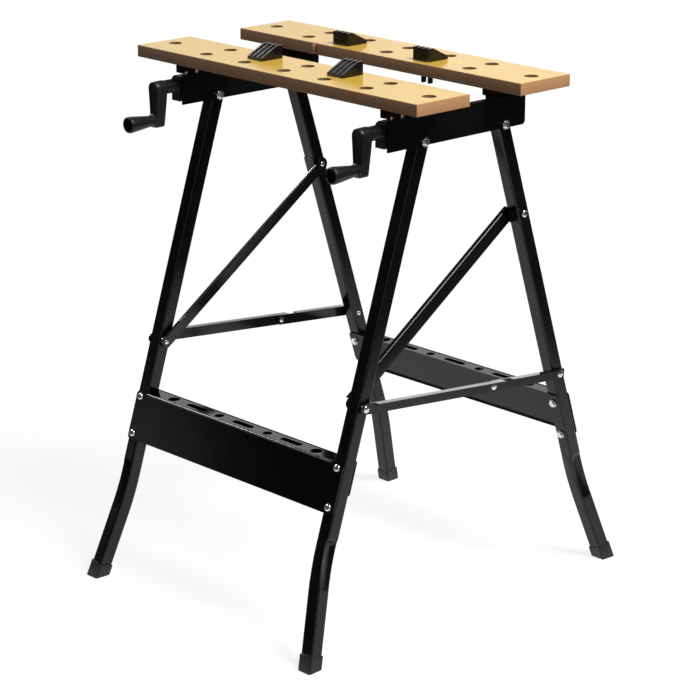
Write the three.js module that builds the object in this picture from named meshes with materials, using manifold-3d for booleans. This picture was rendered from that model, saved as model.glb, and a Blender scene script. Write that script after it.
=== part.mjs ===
// Folding workbench: two clamping boards on rails, four splayed legs, two tool panels.
// Millimetres. Origin on the floor midway between the feet, +Z up, the cranks towards -Y.

import * as THREE from 'three';
import { mergeVertices } from 'three/addons/utils/BufferGeometryUtils.js';
import Module from 'manifold-3d';

const wasm = await Module();
wasm.setup();

// Fits shared by all pieces
const FIT = 0.3;              // gap between two pieces that bear on each other
const OVER = 1;               // how far a cutter runs past the face it opens

// Clamping boards
const WORK_HEIGHT = 806;
const BOARD_LENGTH = 600;
const BOARD_WIDTH = 103;
const BOARD_THICK = 18;
const JAW_OPENING = 103;
const JAW_CENTRE_Y = -11;
const DOG_HOLE_R = 10;
const DOG_PITCH = 86;
const DOG_ROW_SPREAD = 47;
const DOG_END_INSET = 28;
const PIPE_GROOVE_X = -127;
const PIPE_GROOVE_DEPTH = 5;

// Bench pegs
const PEG_WIDTH = 32;
const PEG_GRIP = 13.5;        // shank axis to the gripping face
const PEG_TAIL = 27;          // shank axis to the low end of the ramp
const PEG_HIGH = 20;
const PEG_LOW = 5;
const PEG_CREST = 10;         // level top behind the gripping face
const PEG_CREST_NOTCH = 1.6;  // depth of the grooves across the crest
const PEG_GROOVES = 3;
const PEG_GROOVE_WIDTH = 6.2;
const PEG_GROOVE_DEPTH = 3;
const PEG_COLLAR = 8;         // depth of the round collar in the hole
const PEG_PRONG = [3, 8];     // section of one prong, across and along
const PEG_PRONG_OUT = 8.3;    // outer face of a prong from the axis
const PEG_BELOW = 16;         // prong length under the board

// Legs
const LEG_X = 220.7;
const LEG_SIZE = 22;
const LEG_WALL = 1.6;
const LEG_CORNER = 2.6;
const LEG_ABOVE_PIVOT = 10;
const PIVOT_Y = 82;
const FOOT_Y = 315;
const BEND_START = 590;       // along the leg from its pivot
const BEND_LENGTH = 70;
const BEND_ANGLE = THREE.MathUtils.degToRad(9.2);
const FOOT_SIZE = 25.4;
const FOOT_HIGH = 22;
const FOOT_SOLE = 7;

// Rails and the brackets that carry the boards
const BRACKET_HIGH = 17;
const RAIL_HIGH = 45;
const RAIL_SHEET = 2;
const RAIL_FLANGE = 13;
const RAIL_FLANGE_FRONT = -145;
const RAIL_FRONT = -156;
const RAIL_REAR = 122;
const RAIL_CORNER = 6;
const RAIL_GAP = 0.6;         // leg side to rail web
const PIVOT_ABOVE_RAIL_EDGE = 4.5;
const BRACKET_SIDES = [-10, 2];
const BRACKET_SHEET = 2;
const FRONT_BRACKET = [-148, -64];
const REAR_BRACKET = [56, 116];
const REAR_BRACKET_RISE = 3.5;  // front of the sliding bracket above the rail
const REAR_BRACKET_RISE_END = 70;
const SLIDE_FOOT = [52, 64];    // foot of the sliding bracket on the rail flange
const SLIDE_FOOT_WIDE = 9.5;
const SLIDE_FOOT_HIGH = 5;

// Vise screws, nuts and bearing blocks
const SCREW_BELOW_RAIL_TOP = 16.5;
const SCREW_R = 6;
const JOURNAL_R = 5;
const COLLAR_R = 9;
const COLLAR_LONG = 4;
const SCREW_STOP_R = 7.5;
const SCREW_REAR = 112;
const SCREW_STOP_LONG = 4;
const NUT_Y = 83;
const NUT_LONG = 24;
const NUT_HALF = 9;
const NUT_BELOW = 8;
const NUT_ABOVE = 11.5;
const TRUNNION_R = 4;
const NUT_ARM = 3;
const NUT_ARM_WIDE = 22;
const BLOCK = { left: -10.5, front: -157, rear: -130, chamfer: 4.8, bottom: 4.5 };
const BLOCK_CLEAR = { across: 3.5, up: 2.2 };  // corner cut away beside the rail

// Cranks
const CRANK_FRONT = -202;
const CRANK_DEEP = 20;
const CRANK_TIP_DEEP = 16;
const CRANK_THROW = 47.5;
const CRANK_HUB_R = 11.3;
const CRANK_WAIST_R = 9.8;
const CRANK_TIP_HALF = 8;     // half the arm's width at the grip
const CRANK_TIP_LOW = 11;     // grip axis to the arm's end
const CRANK_TIP_CORNER = 4.5;
const CRANK_BEVEL = 1.4;
const COUPLING_R = 10.5;      // round hub behind the arm
const SOCKET_FLOOR = 7;       // arm front to the end of the screw socket
const GRIP_LONG = 49;
const GRIP_NECK_R = 8;
const GRIP_END_R = 12.5;
const GRIP_MOUTH_R = 9.5;
const GRIP_MOUTH = 9;
const GRIP_PIN_R = 3.5;
const GRIP_PIN_HEAD_R = 5.5;
const GRIP_PIN_HEAD = 2;

// Tool panels
const PANEL_SHEET = 1.7;
const PANEL_TOP = 468.7;      // outer fold, along the leg from its pivot
const PANEL_HIGH = 75;
const PANEL_LIP = 54;         // inner sheet, down from the shelf
const SHELF_DROP = 0.5;       // shelf below the edges of the sheets
const PANEL_CORNER = 5;
const PANEL_END_GAP = 1.4;    // flange end to the side of a leg
const PANEL_BOLTS = [476.3, 534.3];
const TOOL_HOLES = [[-160, 9.5], [-54, 7.5], [54, 7.5], [160, 9.5]];  // place and radius
const TOOL_SLOT = [44, 11];
const TOOL_SLOTS = [-106, 0, 106];

// Struts and folding stays
const STAY_FRONT = 385.5;     // pivots along the legs
const STAY_REAR = 426.5;
const STRUT_TOP = 147.5;
const STRUT_HIGH = 21;
const STRUT_SHEET = 1.8;
const STRUT_FLANGE = 7.5;
const STRUT_TAIL = 8;
const STRUT_TAB = 3;          // flange end to the line of the pivot
const STRUT_GAP = 2.8;        // leg side to the strut, spaced by a rivet's collar
const STAY_SPLIT = 0.637;     // middle pivot as a share of the stay
const STAY_HIGH = 16;
const STAY_SHEET = 2;
const STAY_FLANGE = 8.5;
const STAY_TAIL = 19;
const STAY_GAP = 1.6;         // leg side to the rear link

// Rivets and bolts
const RIVET_R = 3;
const RIVET_HEAD_R = 5.5;
const RIVET_HEAD = 2.2;
const RIVET_TAIL_R = 4;       // formed inner end
const RIVET_TAIL = 1.8;
const RIVET_FLUSH = 0.9;      // thin inner head of a stay rivet
const PIVOT_BOLT_R = 4;
const PIVOT_HEAD_R = 7;
const PIVOT_HEAD = 4;
const PANEL_BOLT_R = 3;
const PANEL_HEAD_R = 5.5;
const PANEL_HEAD = 3.6;
const PANEL_NUT_R = 5.8;
const PANEL_NUT = 4.5;

// Heights and directions that follow from the sizes above
const BOARD_UNDER = WORK_HEIGHT - BOARD_THICK;
const RAIL_TOP = BOARD_UNDER - BRACKET_HIGH;
const RAIL_UNDER = RAIL_TOP - RAIL_HIGH;
const PIVOT_Z = RAIL_UNDER + PIVOT_ABOVE_RAIL_EDGE;
const SCREW_Z = RAIL_TOP - SCREW_BELOW_RAIL_TOP;
const SPLAY = Math.atan2(FOOT_Y - PIVOT_Y, PIVOT_Z);
const LEG_LINE = PIVOT_Z / Math.cos(SPLAY);
const LEG_HALF = LEG_SIZE / 2;
const WEB = [LEG_HALF + RAIL_GAP, LEG_HALF + RAIL_GAP + RAIL_SHEET];
const STRUT_WEB = LEG_HALF + STRUT_GAP;
const REAR_LINK = LEG_HALF + STAY_GAP;
const FRONT_LINK = REAR_LINK + STAY_SHEET + FIT;
const STAY_OUTER = FRONT_LINK + STAY_SHEET;
const FRONT_JAW_Y = JAW_CENTRE_Y - (JAW_OPENING + BOARD_WIDTH) / 2;
const REAR_JAW_Y = JAW_CENTRE_Y + (JAW_OPENING + BOARD_WIDTH) / 2;
const HUB_BACK = BLOCK.front - FIT;
const GRIP_Z = SCREW_Z - CRANK_THROW;
const ON_FRONT_LEG = (s) => [-PIVOT_Y - s * Math.sin(SPLAY), PIVOT_Z - s * Math.cos(SPLAY)];
const ON_REAR_LEG = (s) => [PIVOT_Y + s * Math.sin(SPLAY), PIVOT_Z - s * Math.cos(SPLAY)];

// Finishes
const finish = (color, roughness, metalness) =>
  new THREE.MeshStandardMaterial({ color, roughness, metalness });
const LAMINATE = finish(0xe6cd94, 0.32, 0);
const BLACK_PAINT = finish(0x17181a, 0.36, 0.1);
const BLACK_PLASTIC = finish(0x0f1011, 0.48, 0);
const ZINC = finish(0xc6c8ca, 0.3, 0.95);
const SCREW_STEEL = finish(0x74777a, 0.38, 0.9);

const bench = new THREE.Group();
bench.name = 'folding_workbench';

// A closed solid from any geometry, ready to be joined or cut.
function solid(geometry) {
  const bare = geometry.clone();
  bare.deleteAttribute('normal');
  bare.deleteAttribute('uv');
  const welded = mergeVertices(bare, 1e-4);
  const vertProperties = new Float32Array(welded.attributes.position.array);
  const triVerts = new Uint32Array(welded.index.array);
  return new wasm.Manifold(new wasm.Mesh({ numProp: 3, vertProperties, triVerts }));
}

function joined(...geometries) {
  return geometries.map(solid).reduce((sum, next) => sum.add(next));
}

function cut(body, ...geometries) {
  return geometries.map(solid).reduce((rest, next) => rest.subtract(next), body);
}

// Adds one named piece to a group, from a solid or a geometry.
function piece(parent, name, body, material) {
  const source = body.isBufferGeometry ? solid(body) : body;
  const { vertProperties, triVerts } = source.getMesh();
  const geometry = new THREE.BufferGeometry();
  geometry.setAttribute('position', new THREE.BufferAttribute(vertProperties, 3));
  geometry.setIndex(new THREE.BufferAttribute(triVerts, 1));
  const flat = geometry.toNonIndexed();
  flat.computeVertexNormals();
  const mesh = new THREE.Mesh(flat, material);
  mesh.name = name;
  parent.add(mesh);
  return mesh;
}

function box([x0, x1], [y0, y1], [z0, z1]) {
  const geometry = new THREE.BoxGeometry(x1 - x0, y1 - y0, z1 - z0);
  return geometry.translate((x0 + x1) / 2, (y0 + y1) / 2, (z0 + z1) / 2);
}

// Turned body: profile of [radius, place] pairs, turned about X, Y or Z through the origin.
function turned(profile, axis, segments = 12) {
  const points = profile.map(([r, t]) => new THREE.Vector2(r, t));
  const geometry = new THREE.LatheGeometry(points, segments);
  if (axis === 'x') geometry.rotateZ(-Math.PI / 2);
  if (axis === 'z') geometry.rotateX(Math.PI / 2);
  return geometry;
}

function rod(radius, [from, to], axis, segments = 12) {
  return turned([[0, from], [radius, from], [radius, to], [0, to]], axis, segments);
}

function circle(x, y, r) {
  const path = new THREE.Path();
  path.absarc(x, y, r, 0, Math.PI * 2, true);
  return path;
}

// Rectangle with rounded corners; radii run from the low-low corner round to the low-high one.
function roundedRect([x0, x1], [y0, y1], radii) {
  const [a, b, c, d] = radii;
  const shape = new THREE.Shape();
  shape.moveTo(x0 + a, y0);
  shape.lineTo(x1 - b, y0);
  if (b) shape.absarc(x1 - b, y0 + b, b, -Math.PI / 2, 0, false);
  shape.lineTo(x1, y1 - c);
  if (c) shape.absarc(x1 - c, y1 - c, c, 0, Math.PI / 2, false);
  shape.lineTo(x0 + d, y1);
  if (d) shape.absarc(x0 + d, y1 - d, d, Math.PI / 2, Math.PI, false);
  shape.lineTo(x0, y0 + a);
  if (a) shape.absarc(x0 + a, y0 + a, a, Math.PI, Math.PI * 1.5, false);
  return shape;
}

function slab(shape, depth, curveSegments = 5) {
  return new THREE.ExtrudeGeometry(shape, { depth, curveSegments, bevelEnabled: false });
}

// Sheet drawn in the Y-Z plane and given its thickness between two X planes.
function sideSheet(shape, [x0, x1], curveSegments = 5) {
  const geometry = slab(shape, x1 - x0, curveSegments);
  geometry.applyMatrix4(new THREE.Matrix4().set(0, 0, 1, x0, 1, 0, 0, 0, 0, 1, 0, 0, 0, 0, 0, 1));
  return geometry;
}

// Body drawn in the X-Z plane, running from y0 to y1.
function frontBody(shape, [y0, y1], curveSegments = 5) {
  const geometry = slab(shape, y1 - y0, curveSegments);
  geometry.applyMatrix4(new THREE.Matrix4().set(1, 0, 0, 0, 0, 0, -1, y1, 0, 1, 0, 0, 0, 0, 0, 1));
  return geometry;
}

// A group whose local +Y runs from one pivot to another, in the Y-Z plane.
function groupAlong([y0, z0], [y1, z1]) {
  const group = new THREE.Group();
  group.position.set(0, y0, z0);
  group.rotation.x = Math.atan2(z1 - z0, y1 - y0);
  bench.add(group);
  return group;
}

const distance = ([y0, z0], [y1, z1]) => Math.hypot(y1 - y0, z1 - z0);

// Two X planes on the outer side of a leg; the order stays low to high on both sides.
function outward(side, near, far) {
  const planes = [side * (LEG_X + near), side * (LEG_X + far)];
  return side > 0 ? planes : planes.reverse();
}

// Rivet along X on the outer side of a leg: stations run outwards.
function rivet(side, stations) {
  const profile = stations.map(([r, t]) => [r, side * (LEG_X + t)]);
  return turned(side > 0 ? profile : profile.reverse(), 'x');
}

const SIDES = [['left', -1], ['right', 1]];

// Boards
function board(centreY, groove) {
  const y = [centreY - BOARD_WIDTH / 2, centreY + BOARD_WIDTH / 2];
  const x = [-BOARD_LENGTH / 2, BOARD_LENGTH / 2];
  const outline = roundedRect(x, y, [0, 0, 0, 0]);
  if (groove) {
    outline.curves = [];
    outline.moveTo(x[0], y[0]);
    outline.lineTo(groove - PIPE_GROOVE_DEPTH, y[0]);
    outline.lineTo(groove, y[0] + PIPE_GROOVE_DEPTH);
    outline.lineTo(groove + PIPE_GROOVE_DEPTH, y[0]);
    outline.lineTo(x[1], y[0]);
    outline.lineTo(x[1], y[1]);
    outline.lineTo(x[0], y[1]);
  }
  for (const column of [-2, -1, 0, 1, 2]) {
    for (const row of [-1, 1]) {
      const place = centreY + row * DOG_ROW_SPREAD / 2;
      outline.holes.push(circle(column * DOG_PITCH, place, DOG_HOLE_R));
    }
  }
  const endHole = BOARD_LENGTH / 2 - DOG_END_INSET;
  outline.holes.push(circle(-endHole, centreY, DOG_HOLE_R));
  outline.holes.push(circle(endHole, centreY, DOG_HOLE_R));
  return slab(outline, BOARD_THICK, 8).translate(0, 0, BOARD_UNDER);
}

piece(bench, 'front_jaw', board(FRONT_JAW_Y, 0), LAMINATE);
piece(bench, 'rear_jaw', board(REAR_JAW_Y, PIPE_GROOVE_X), LAMINATE);

// Bench pegs
function pegSolid() {
  const half = PEG_WIDTH / 2;
  const side = new THREE.Shape();
  side.moveTo(-PEG_TAIL, FIT);
  side.lineTo(PEG_GRIP, FIT);
  side.lineTo(PEG_GRIP, PEG_HIGH);
  side.lineTo(PEG_GRIP - PEG_CREST, PEG_HIGH);
  side.lineTo(-PEG_TAIL, PEG_LOW);
  const wedge = sideSheet(side, [-half, half]);
  const collar = rod(DOG_HOLE_R - FIT, [-PEG_COLLAR, FIT + OVER], 'z', 20);
  const foot = [-BOARD_THICK - PEG_BELOW, FIT - OVER];
  const along = [-PEG_PRONG[1] / 2, PEG_PRONG[1] / 2];
  const prongs = [-1, 1].map((s) => {
    const across = [s * PEG_PRONG_OUT, s * (PEG_PRONG_OUT - PEG_PRONG[0])];
    return box(s > 0 ? across.reverse() : across, along, foot);
  });
  const rampLong = PEG_GRIP - PEG_CREST + PEG_TAIL;
  const slope = Math.atan2(PEG_HIGH - PEG_LOW, rampLong);
  const run = Math.hypot(PEG_HIGH - PEG_LOW, rampLong);
  const rib = (PEG_WIDTH - PEG_GROOVES * PEG_GROOVE_WIDTH) / (PEG_GROOVES + 1);
  const grooves = Array.from({ length: PEG_GROOVES }, (_, i) => {
    const start = -half + rib + i * (rib + PEG_GROOVE_WIDTH);
    const x = [start, start + PEG_GROOVE_WIDTH];
    const ramp = box(x, [-OVER * 3, run], [-PEG_GROOVE_DEPTH, OVER * 3]);
    const crest = box(x, [PEG_GRIP - PEG_CREST - OVER, PEG_GRIP + OVER], [-PEG_CREST_NOTCH, OVER]);
    return [
      ramp.rotateX(slope).translate(0, -PEG_TAIL, PEG_LOW),
      crest.translate(0, 0, PEG_HIGH),
    ];
  }).flat();
  return cut(joined(wedge, collar, ...prongs), ...grooves);
}

for (const [side, sign] of SIDES) {
  const rows = [
    ['front', FRONT_JAW_Y + DOG_ROW_SPREAD / 2, 0],
    ['rear', REAR_JAW_Y - DOG_ROW_SPREAD / 2, Math.PI],
  ];
  for (const [jaw, y, turn] of rows) {
    const peg = piece(bench, `peg_${jaw}_${side}`, pegSolid(), BLACK_PLASTIC);
    peg.position.set(sign * DOG_PITCH, y, WORK_HEIGHT);
    peg.rotation.z = turn;
  }
}

// Rails with their bearings, screws, brackets and cranks: the same hand on both sides
function railSolid() {
  const corners = [0, RAIL_CORNER, 0, 0];
  const web = sideSheet(roundedRect([RAIL_FRONT, RAIL_REAR], [RAIL_UNDER, RAIL_TOP], corners), WEB);
  const flangeX = [WEB[1] - RAIL_FLANGE, WEB[1]];
  const flangeY = [RAIL_FLANGE_FRONT, RAIL_REAR];
  const flange = box(flangeX, flangeY, [RAIL_TOP - RAIL_SHEET, RAIL_TOP]);
  const holes = [-PIVOT_Y, PIVOT_Y].map((y) => {
    const hole = rod(PIVOT_BOLT_R + FIT, [WEB[0] - OVER, WEB[1] + OVER], 'x');
    return hole.translate(0, y, PIVOT_Z);
  });
  return cut(joined(web, flange), ...holes);
}

// Pressed channel under a board: closed at the front, open below and at the rear.
function bracketSolid([front, rear]) {
  const [x0, x1] = BRACKET_SIDES;
  const z = [RAIL_TOP + FIT, BOARD_UNDER - FIT];
  const hollowX = [x0 + BRACKET_SHEET, x1 - BRACKET_SHEET];
  const hollowY = [front + BRACKET_SHEET, rear + OVER];
  const hollow = box(hollowX, hollowY, [z[0] - OVER, z[1] - BRACKET_SHEET]);
  return cut(solid(box(BRACKET_SIDES, [front, rear], z)), hollow);
}

// The sliding bracket reaches down beside the rail flange to hold the nut by its trunnion.
function slidingBracketSolid() {
  const armX = [-NUT_HALF - FIT - NUT_ARM, -NUT_HALF - FIT];
  const armY = [NUT_Y - NUT_ARM_WIDE / 2, NUT_Y + NUT_ARM_WIDE / 2];
  const arm = box(armX, armY, [SCREW_Z - NUT_BELOW, BOARD_UNDER - FIT]);
  const shoulder = box([armX[0], BRACKET_SIDES[0] + OVER], armY, [RAIL_TOP + FIT, BOARD_UNDER - FIT]);
  const eye = rod(TRUNNION_R + FIT, [armX[0] - OVER, armX[1] + OVER], 'x');
  const footX = [BRACKET_SIDES[1] - BRACKET_SHEET, BRACKET_SIDES[1] + SLIDE_FOOT_WIDE];
  const footZ = [RAIL_TOP + FIT, RAIL_TOP + FIT + SLIDE_FOOT_HIGH];
  const foot = box(footX, SLIDE_FOOT, footZ);
  const riseX = [BRACKET_SIDES[0] - OVER, footX[0]];
  const riseY = [REAR_BRACKET[0] - OVER, REAR_BRACKET_RISE_END];
  const rise = box(riseX, riseY, [RAIL_TOP, RAIL_TOP + REAR_BRACKET_RISE]);
  const body = bracketSolid(REAR_BRACKET).add(joined(arm, shoulder, foot));
  return cut(body, rise, eye.translate(0, NUT_Y, SCREW_Z));
}

function nutSolid() {
  const y = [NUT_Y - NUT_LONG / 2, NUT_Y + NUT_LONG / 2];
  const body = box([-NUT_HALF, NUT_HALF], y, [SCREW_Z - NUT_BELOW, SCREW_Z + NUT_ABOVE]);
  const stub = rod(TRUNNION_R, [-NUT_HALF - FIT - NUT_ARM, OVER - NUT_HALF], 'x');
  const bore = rod(SCREW_R + FIT, [y[0] - OVER, y[1] + OVER], 'y', 16);
  return cut(joined(body, stub.translate(0, NUT_Y, SCREW_Z)), bore.translate(0, 0, SCREW_Z));
}

function screwGeometry() {
  const socketEnd = CRANK_FRONT + SOCKET_FLOOR + FIT;
  const collar = BLOCK.rear + FIT;
  return turned([
    [0, socketEnd],
    [JOURNAL_R, socketEnd],
    [JOURNAL_R, collar],
    [COLLAR_R, collar],
    [COLLAR_R, collar + COLLAR_LONG],
    [SCREW_R, collar + COLLAR_LONG],
    [SCREW_R, SCREW_REAR - SCREW_STOP_LONG],
    [SCREW_STOP_R, SCREW_REAR - SCREW_STOP_LONG],
    [SCREW_STOP_R, SCREW_REAR],
    [0, SCREW_REAR],
  ], 'y', 16);
}

function blockSolid() {
  const right = WEB[0] - FIT;
  const bottom = RAIL_UNDER + BLOCK.bottom;
  const top = RAIL_TOP - RAIL_SHEET - FIT;
  const shape = new THREE.Shape();
  shape.moveTo(BLOCK.left, bottom);
  shape.lineTo(right - BLOCK_CLEAR.across, bottom);
  shape.lineTo(right, bottom + BLOCK_CLEAR.up);
  shape.lineTo(right, top);
  shape.lineTo(BLOCK.left + BLOCK.chamfer, top);
  shape.lineTo(BLOCK.left, top - BLOCK.chamfer);
  const body = solid(frontBody(shape, [BLOCK.front, BLOCK.rear]));
  const bore = rod(JOURNAL_R + FIT, [BLOCK.front - OVER, BLOCK.rear + OVER], 'y', 16);
  return cut(body, bore.translate(0, 0, SCREW_Z));
}

// Arm outline: a large round at the screw, a waist, and a blunt end with round corners at the grip.
function crankSolid() {
  const edge = CRANK_BEVEL;
  const shape = new THREE.Shape();
  shape.absarc(0, 0, CRANK_HUB_R - edge, 0, Math.PI, false);
  shape.lineTo(edge - CRANK_WAIST_R, -CRANK_THROW * 0.45);
  const cornerX = CRANK_TIP_HALF - CRANK_TIP_CORNER;
  const cornerZ = -CRANK_THROW - CRANK_TIP_LOW + CRANK_TIP_CORNER;
  const cornerR = CRANK_TIP_CORNER - edge;
  shape.absarc(-cornerX, cornerZ, cornerR, Math.PI, Math.PI * 1.5, false);
  shape.absarc(cornerX, cornerZ, cornerR, Math.PI * 1.5, Math.PI * 2, false);
  shape.lineTo(CRANK_WAIST_R - edge, -CRANK_THROW * 0.45);
  const arm = new THREE.ExtrudeGeometry(shape, {
    depth: CRANK_DEEP - 2 * edge,
    curveSegments: 6,
    bevelThickness: edge,
    bevelSize: edge,
    bevelSegments: 1,
  });
  arm.rotateX(Math.PI / 2).translate(0, CRANK_FRONT + CRANK_DEEP - edge, 0);
  const taper = Math.atan2(CRANK_DEEP - CRANK_TIP_DEEP, CRANK_THROW - CRANK_HUB_R + CRANK_TIP_LOW);
  const shaving = box([-2 * CRANK_HUB_R, 2 * CRANK_HUB_R], [0, CRANK_DEEP], [-2 * CRANK_THROW, 0]);
  shaving.rotateX(-taper).translate(0, CRANK_FRONT + CRANK_DEEP, -CRANK_HUB_R);
  const hub = rod(COUPLING_R, [CRANK_FRONT + CRANK_DEEP - OVER, HUB_BACK], 'y', 20);
  const socket = rod(JOURNAL_R + FIT, [CRANK_FRONT + SOCKET_FLOOR, HUB_BACK + OVER], 'y', 16);
  const mouthFloor = CRANK_FRONT - FIT - GRIP_LONG + GRIP_MOUTH;
  const pin = turned([
    [0, mouthFloor - FIT - GRIP_PIN_HEAD],
    [GRIP_PIN_HEAD_R, mouthFloor - FIT - GRIP_PIN_HEAD],
    [GRIP_PIN_HEAD_R, mouthFloor - FIT],
    [GRIP_PIN_R, mouthFloor - FIT],
    [GRIP_PIN_R, CRANK_FRONT + OVER * 3],
    [0, CRANK_FRONT + OVER * 3],
  ], 'y');
  const shaved = cut(solid(arm), shaving);
  const body = shaved.add(solid(hub)).add(solid(pin.translate(0, 0, -CRANK_THROW)));
  return cut(body, socket);
}

function gripGeometry() {
  const back = CRANK_FRONT - FIT;
  const end = back - GRIP_LONG;
  const bore = GRIP_PIN_R + FIT;
  return turned([
    [bore, back],
    [bore, end + GRIP_MOUTH],
    [GRIP_MOUTH_R, end + GRIP_MOUTH],
    [GRIP_MOUTH_R, end],
    [GRIP_END_R - 1, end],
    [GRIP_END_R, end + 1.5],
    [GRIP_END_R - 0.6, end + GRIP_LONG * 0.3],
    [GRIP_NECK_R + 0.8, back - GRIP_LONG * 0.18],
    [GRIP_NECK_R, back],
    [bore, back],
  ], 'y', 20);
}

for (const [side, sign] of SIDES) {
  const rail = new THREE.Group();
  rail.position.x = sign * LEG_X;
  bench.add(rail);
  piece(rail, `rail_${side}`, railSolid(), BLACK_PAINT);
  piece(rail, `front_bracket_${side}`, bracketSolid(FRONT_BRACKET), BLACK_PAINT);
  piece(rail, `rear_bracket_${side}`, slidingBracketSolid(), BLACK_PAINT);
  piece(rail, `bearing_block_${side}`, blockSolid(), BLACK_PLASTIC);
  piece(rail, `vise_nut_${side}`, nutSolid(), BLACK_PAINT);
  const line = new THREE.Group();
  line.position.z = SCREW_Z;
  rail.add(line);
  piece(line, `vise_screw_${side}`, screwGeometry(), SCREW_STEEL);
  piece(line, `crank_${side}`, crankSolid(), BLACK_PLASTIC);
  const grip = piece(line, `grip_${side}`, gripGeometry(), BLACK_PLASTIC);
  grip.position.z = GRIP_Z - SCREW_Z;
  for (const [end, y] of [['front', -PIVOT_Y], ['rear', PIVOT_Y]]) {
    const tail = LEG_HALF + FIT;
    const bolt = turned([
      [0, -tail - PIVOT_HEAD],
      [PIVOT_HEAD_R, -tail - PIVOT_HEAD],
      [PIVOT_HEAD_R, -tail],
      [PIVOT_BOLT_R, -tail],
      [PIVOT_BOLT_R, WEB[1] + FIT],
      [PIVOT_HEAD_R, WEB[1] + FIT],
      [PIVOT_HEAD_R - 1.5, WEB[1] + FIT + PIVOT_HEAD],
      [0, WEB[1] + FIT + PIVOT_HEAD],
    ], 'x');
    piece(rail, `pivot_bolt_${end}_${side}`, bolt.translate(0, y, PIVOT_Z), ZINC);
  }
}

// Leg frames: built hanging from the pivot line, local -Z down the leg, +Y to the inside.
// Centre line of a leg below the bend start, as [outward offset, distance down, lean].
function legStations(end) {
  const radius = BEND_LENGTH / BEND_ANGLE;
  const stations = [[0, -LEG_ABOVE_PIVOT, 0]];
  const steps = 4;
  for (let i = 0; i <= steps; i += 1) {
    const lean = BEND_ANGLE * i / steps;
    const out = radius * (1 - Math.cos(lean));
    stations.push([out, BEND_START + radius * Math.sin(lean), lean]);
  }
  const [out, down] = stations[steps + 1];
  stations.push([out + (end - down) * Math.tan(BEND_ANGLE), end, BEND_ANGLE]);
  return stations;
}

// Square tube swept along the stations; the end faces are rings.
function legTube(sign, end) {
  const half = LEG_HALF;
  const bore = half - LEG_WALL;
  const radii = [LEG_CORNER, LEG_CORNER, LEG_CORNER, LEG_CORNER];
  const outer = roundedRect([-half, half], [-half, half], radii).getPoints(2);
  if (outer[0].equals(outer[outer.length - 1])) outer.pop();
  const unique = outer.filter((p, i) => i === 0 || p.distanceTo(outer[i - 1]) > 1e-6);
  const inner = [[-bore, -bore], [bore, -bore], [bore, bore], [-bore, bore]]
    .map(([x, y]) => new THREE.Vector2(x, y));
  const section = [...unique, ...inner];
  const stations = legStations(end);
  const positions = [];
  for (const [out, down, lean] of stations) {
    for (const p of section) {
      const x = sign * (LEG_X + out) + p.x * Math.cos(lean);
      const z = -down + sign * p.x * Math.sin(lean);
      positions.push(x, p.y, z);
    }
  }
  const index = [];
  const ring = section.length;
  const wall = (from, count, flip) => {
    for (let k = 0; k + 1 < stations.length; k += 1) {
      for (let i = 0; i < count; i += 1) {
        const a = k * ring + from + i;
        const b = k * ring + from + (i + 1) % count;
        const quad = flip ? [a, b, b + ring, a, b + ring, a + ring]
          : [a, b + ring, b, a, a + ring, b + ring];
        index.push(...quad);
      }
    }
  };
  wall(0, unique.length, false);
  wall(unique.length, inner.length, true);
  const cap = THREE.ShapeUtils.triangulateShape(unique, [inner]);
  const last = (stations.length - 1) * ring;
  for (const [a, b, c] of cap) {
    index.push(a, b, c);
    index.push(last + a, last + c, last + b);
  }
  const geometry = new THREE.BufferGeometry();
  geometry.setAttribute('position', new THREE.Float32BufferAttribute(positions, 3));
  geometry.setIndex(index);
  return geometry;
}

// Block of the given half width around the lower leg, between two distances down its line.
function aroundFoot(sign, half, from, to) {
  const [out, down] = legStations(BEND_START + 2 * BEND_LENGTH).at(-2);
  const along = (s) => (down - s) / Math.cos(BEND_ANGLE);
  const block = box([-half, half], [-half, half], [along(to), along(from)]);
  return block.rotateY(-sign * BEND_ANGLE).translate(sign * (LEG_X + out), 0, -down);
}

function legSolid(sign, pivots) {
  const end = LEG_LINE - FOOT_SOLE - FIT;
  const x = [sign * LEG_X - LEG_HALF - OVER, sign * LEG_X + LEG_HALF + OVER];
  const hole = (s, r) => rod(r + FIT, x, 'x').translate(0, 0, -s);
  const bolts = PANEL_BOLTS.map((s) => {
    const bore = rod(PANEL_BOLT_R + FIT, [-LEG_HALF - OVER, LEG_HALF + OVER], 'y');
    return bore.translate(sign * LEG_X, 0, -s);
  });
  const pins = pivots.map((s) => hole(s, RIVET_R));
  return cut(solid(legTube(sign, end)), hole(0, PIVOT_BOLT_R), ...pins, ...bolts);
}

function footSolid(sign, floor) {
  const half = FOOT_SIZE / 2;
  const end = LEG_LINE - FOOT_SOLE;
  const cap = solid(aroundFoot(sign, half, end + FOOT_SOLE - FOOT_HIGH, LEG_LINE + FOOT_SIZE));
  const pocket = aroundFoot(sign, LEG_HALF + FIT, LEG_LINE - 2 * FOOT_HIGH, end + FIT);
  return cut(cap, pocket, floor);
}

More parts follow.
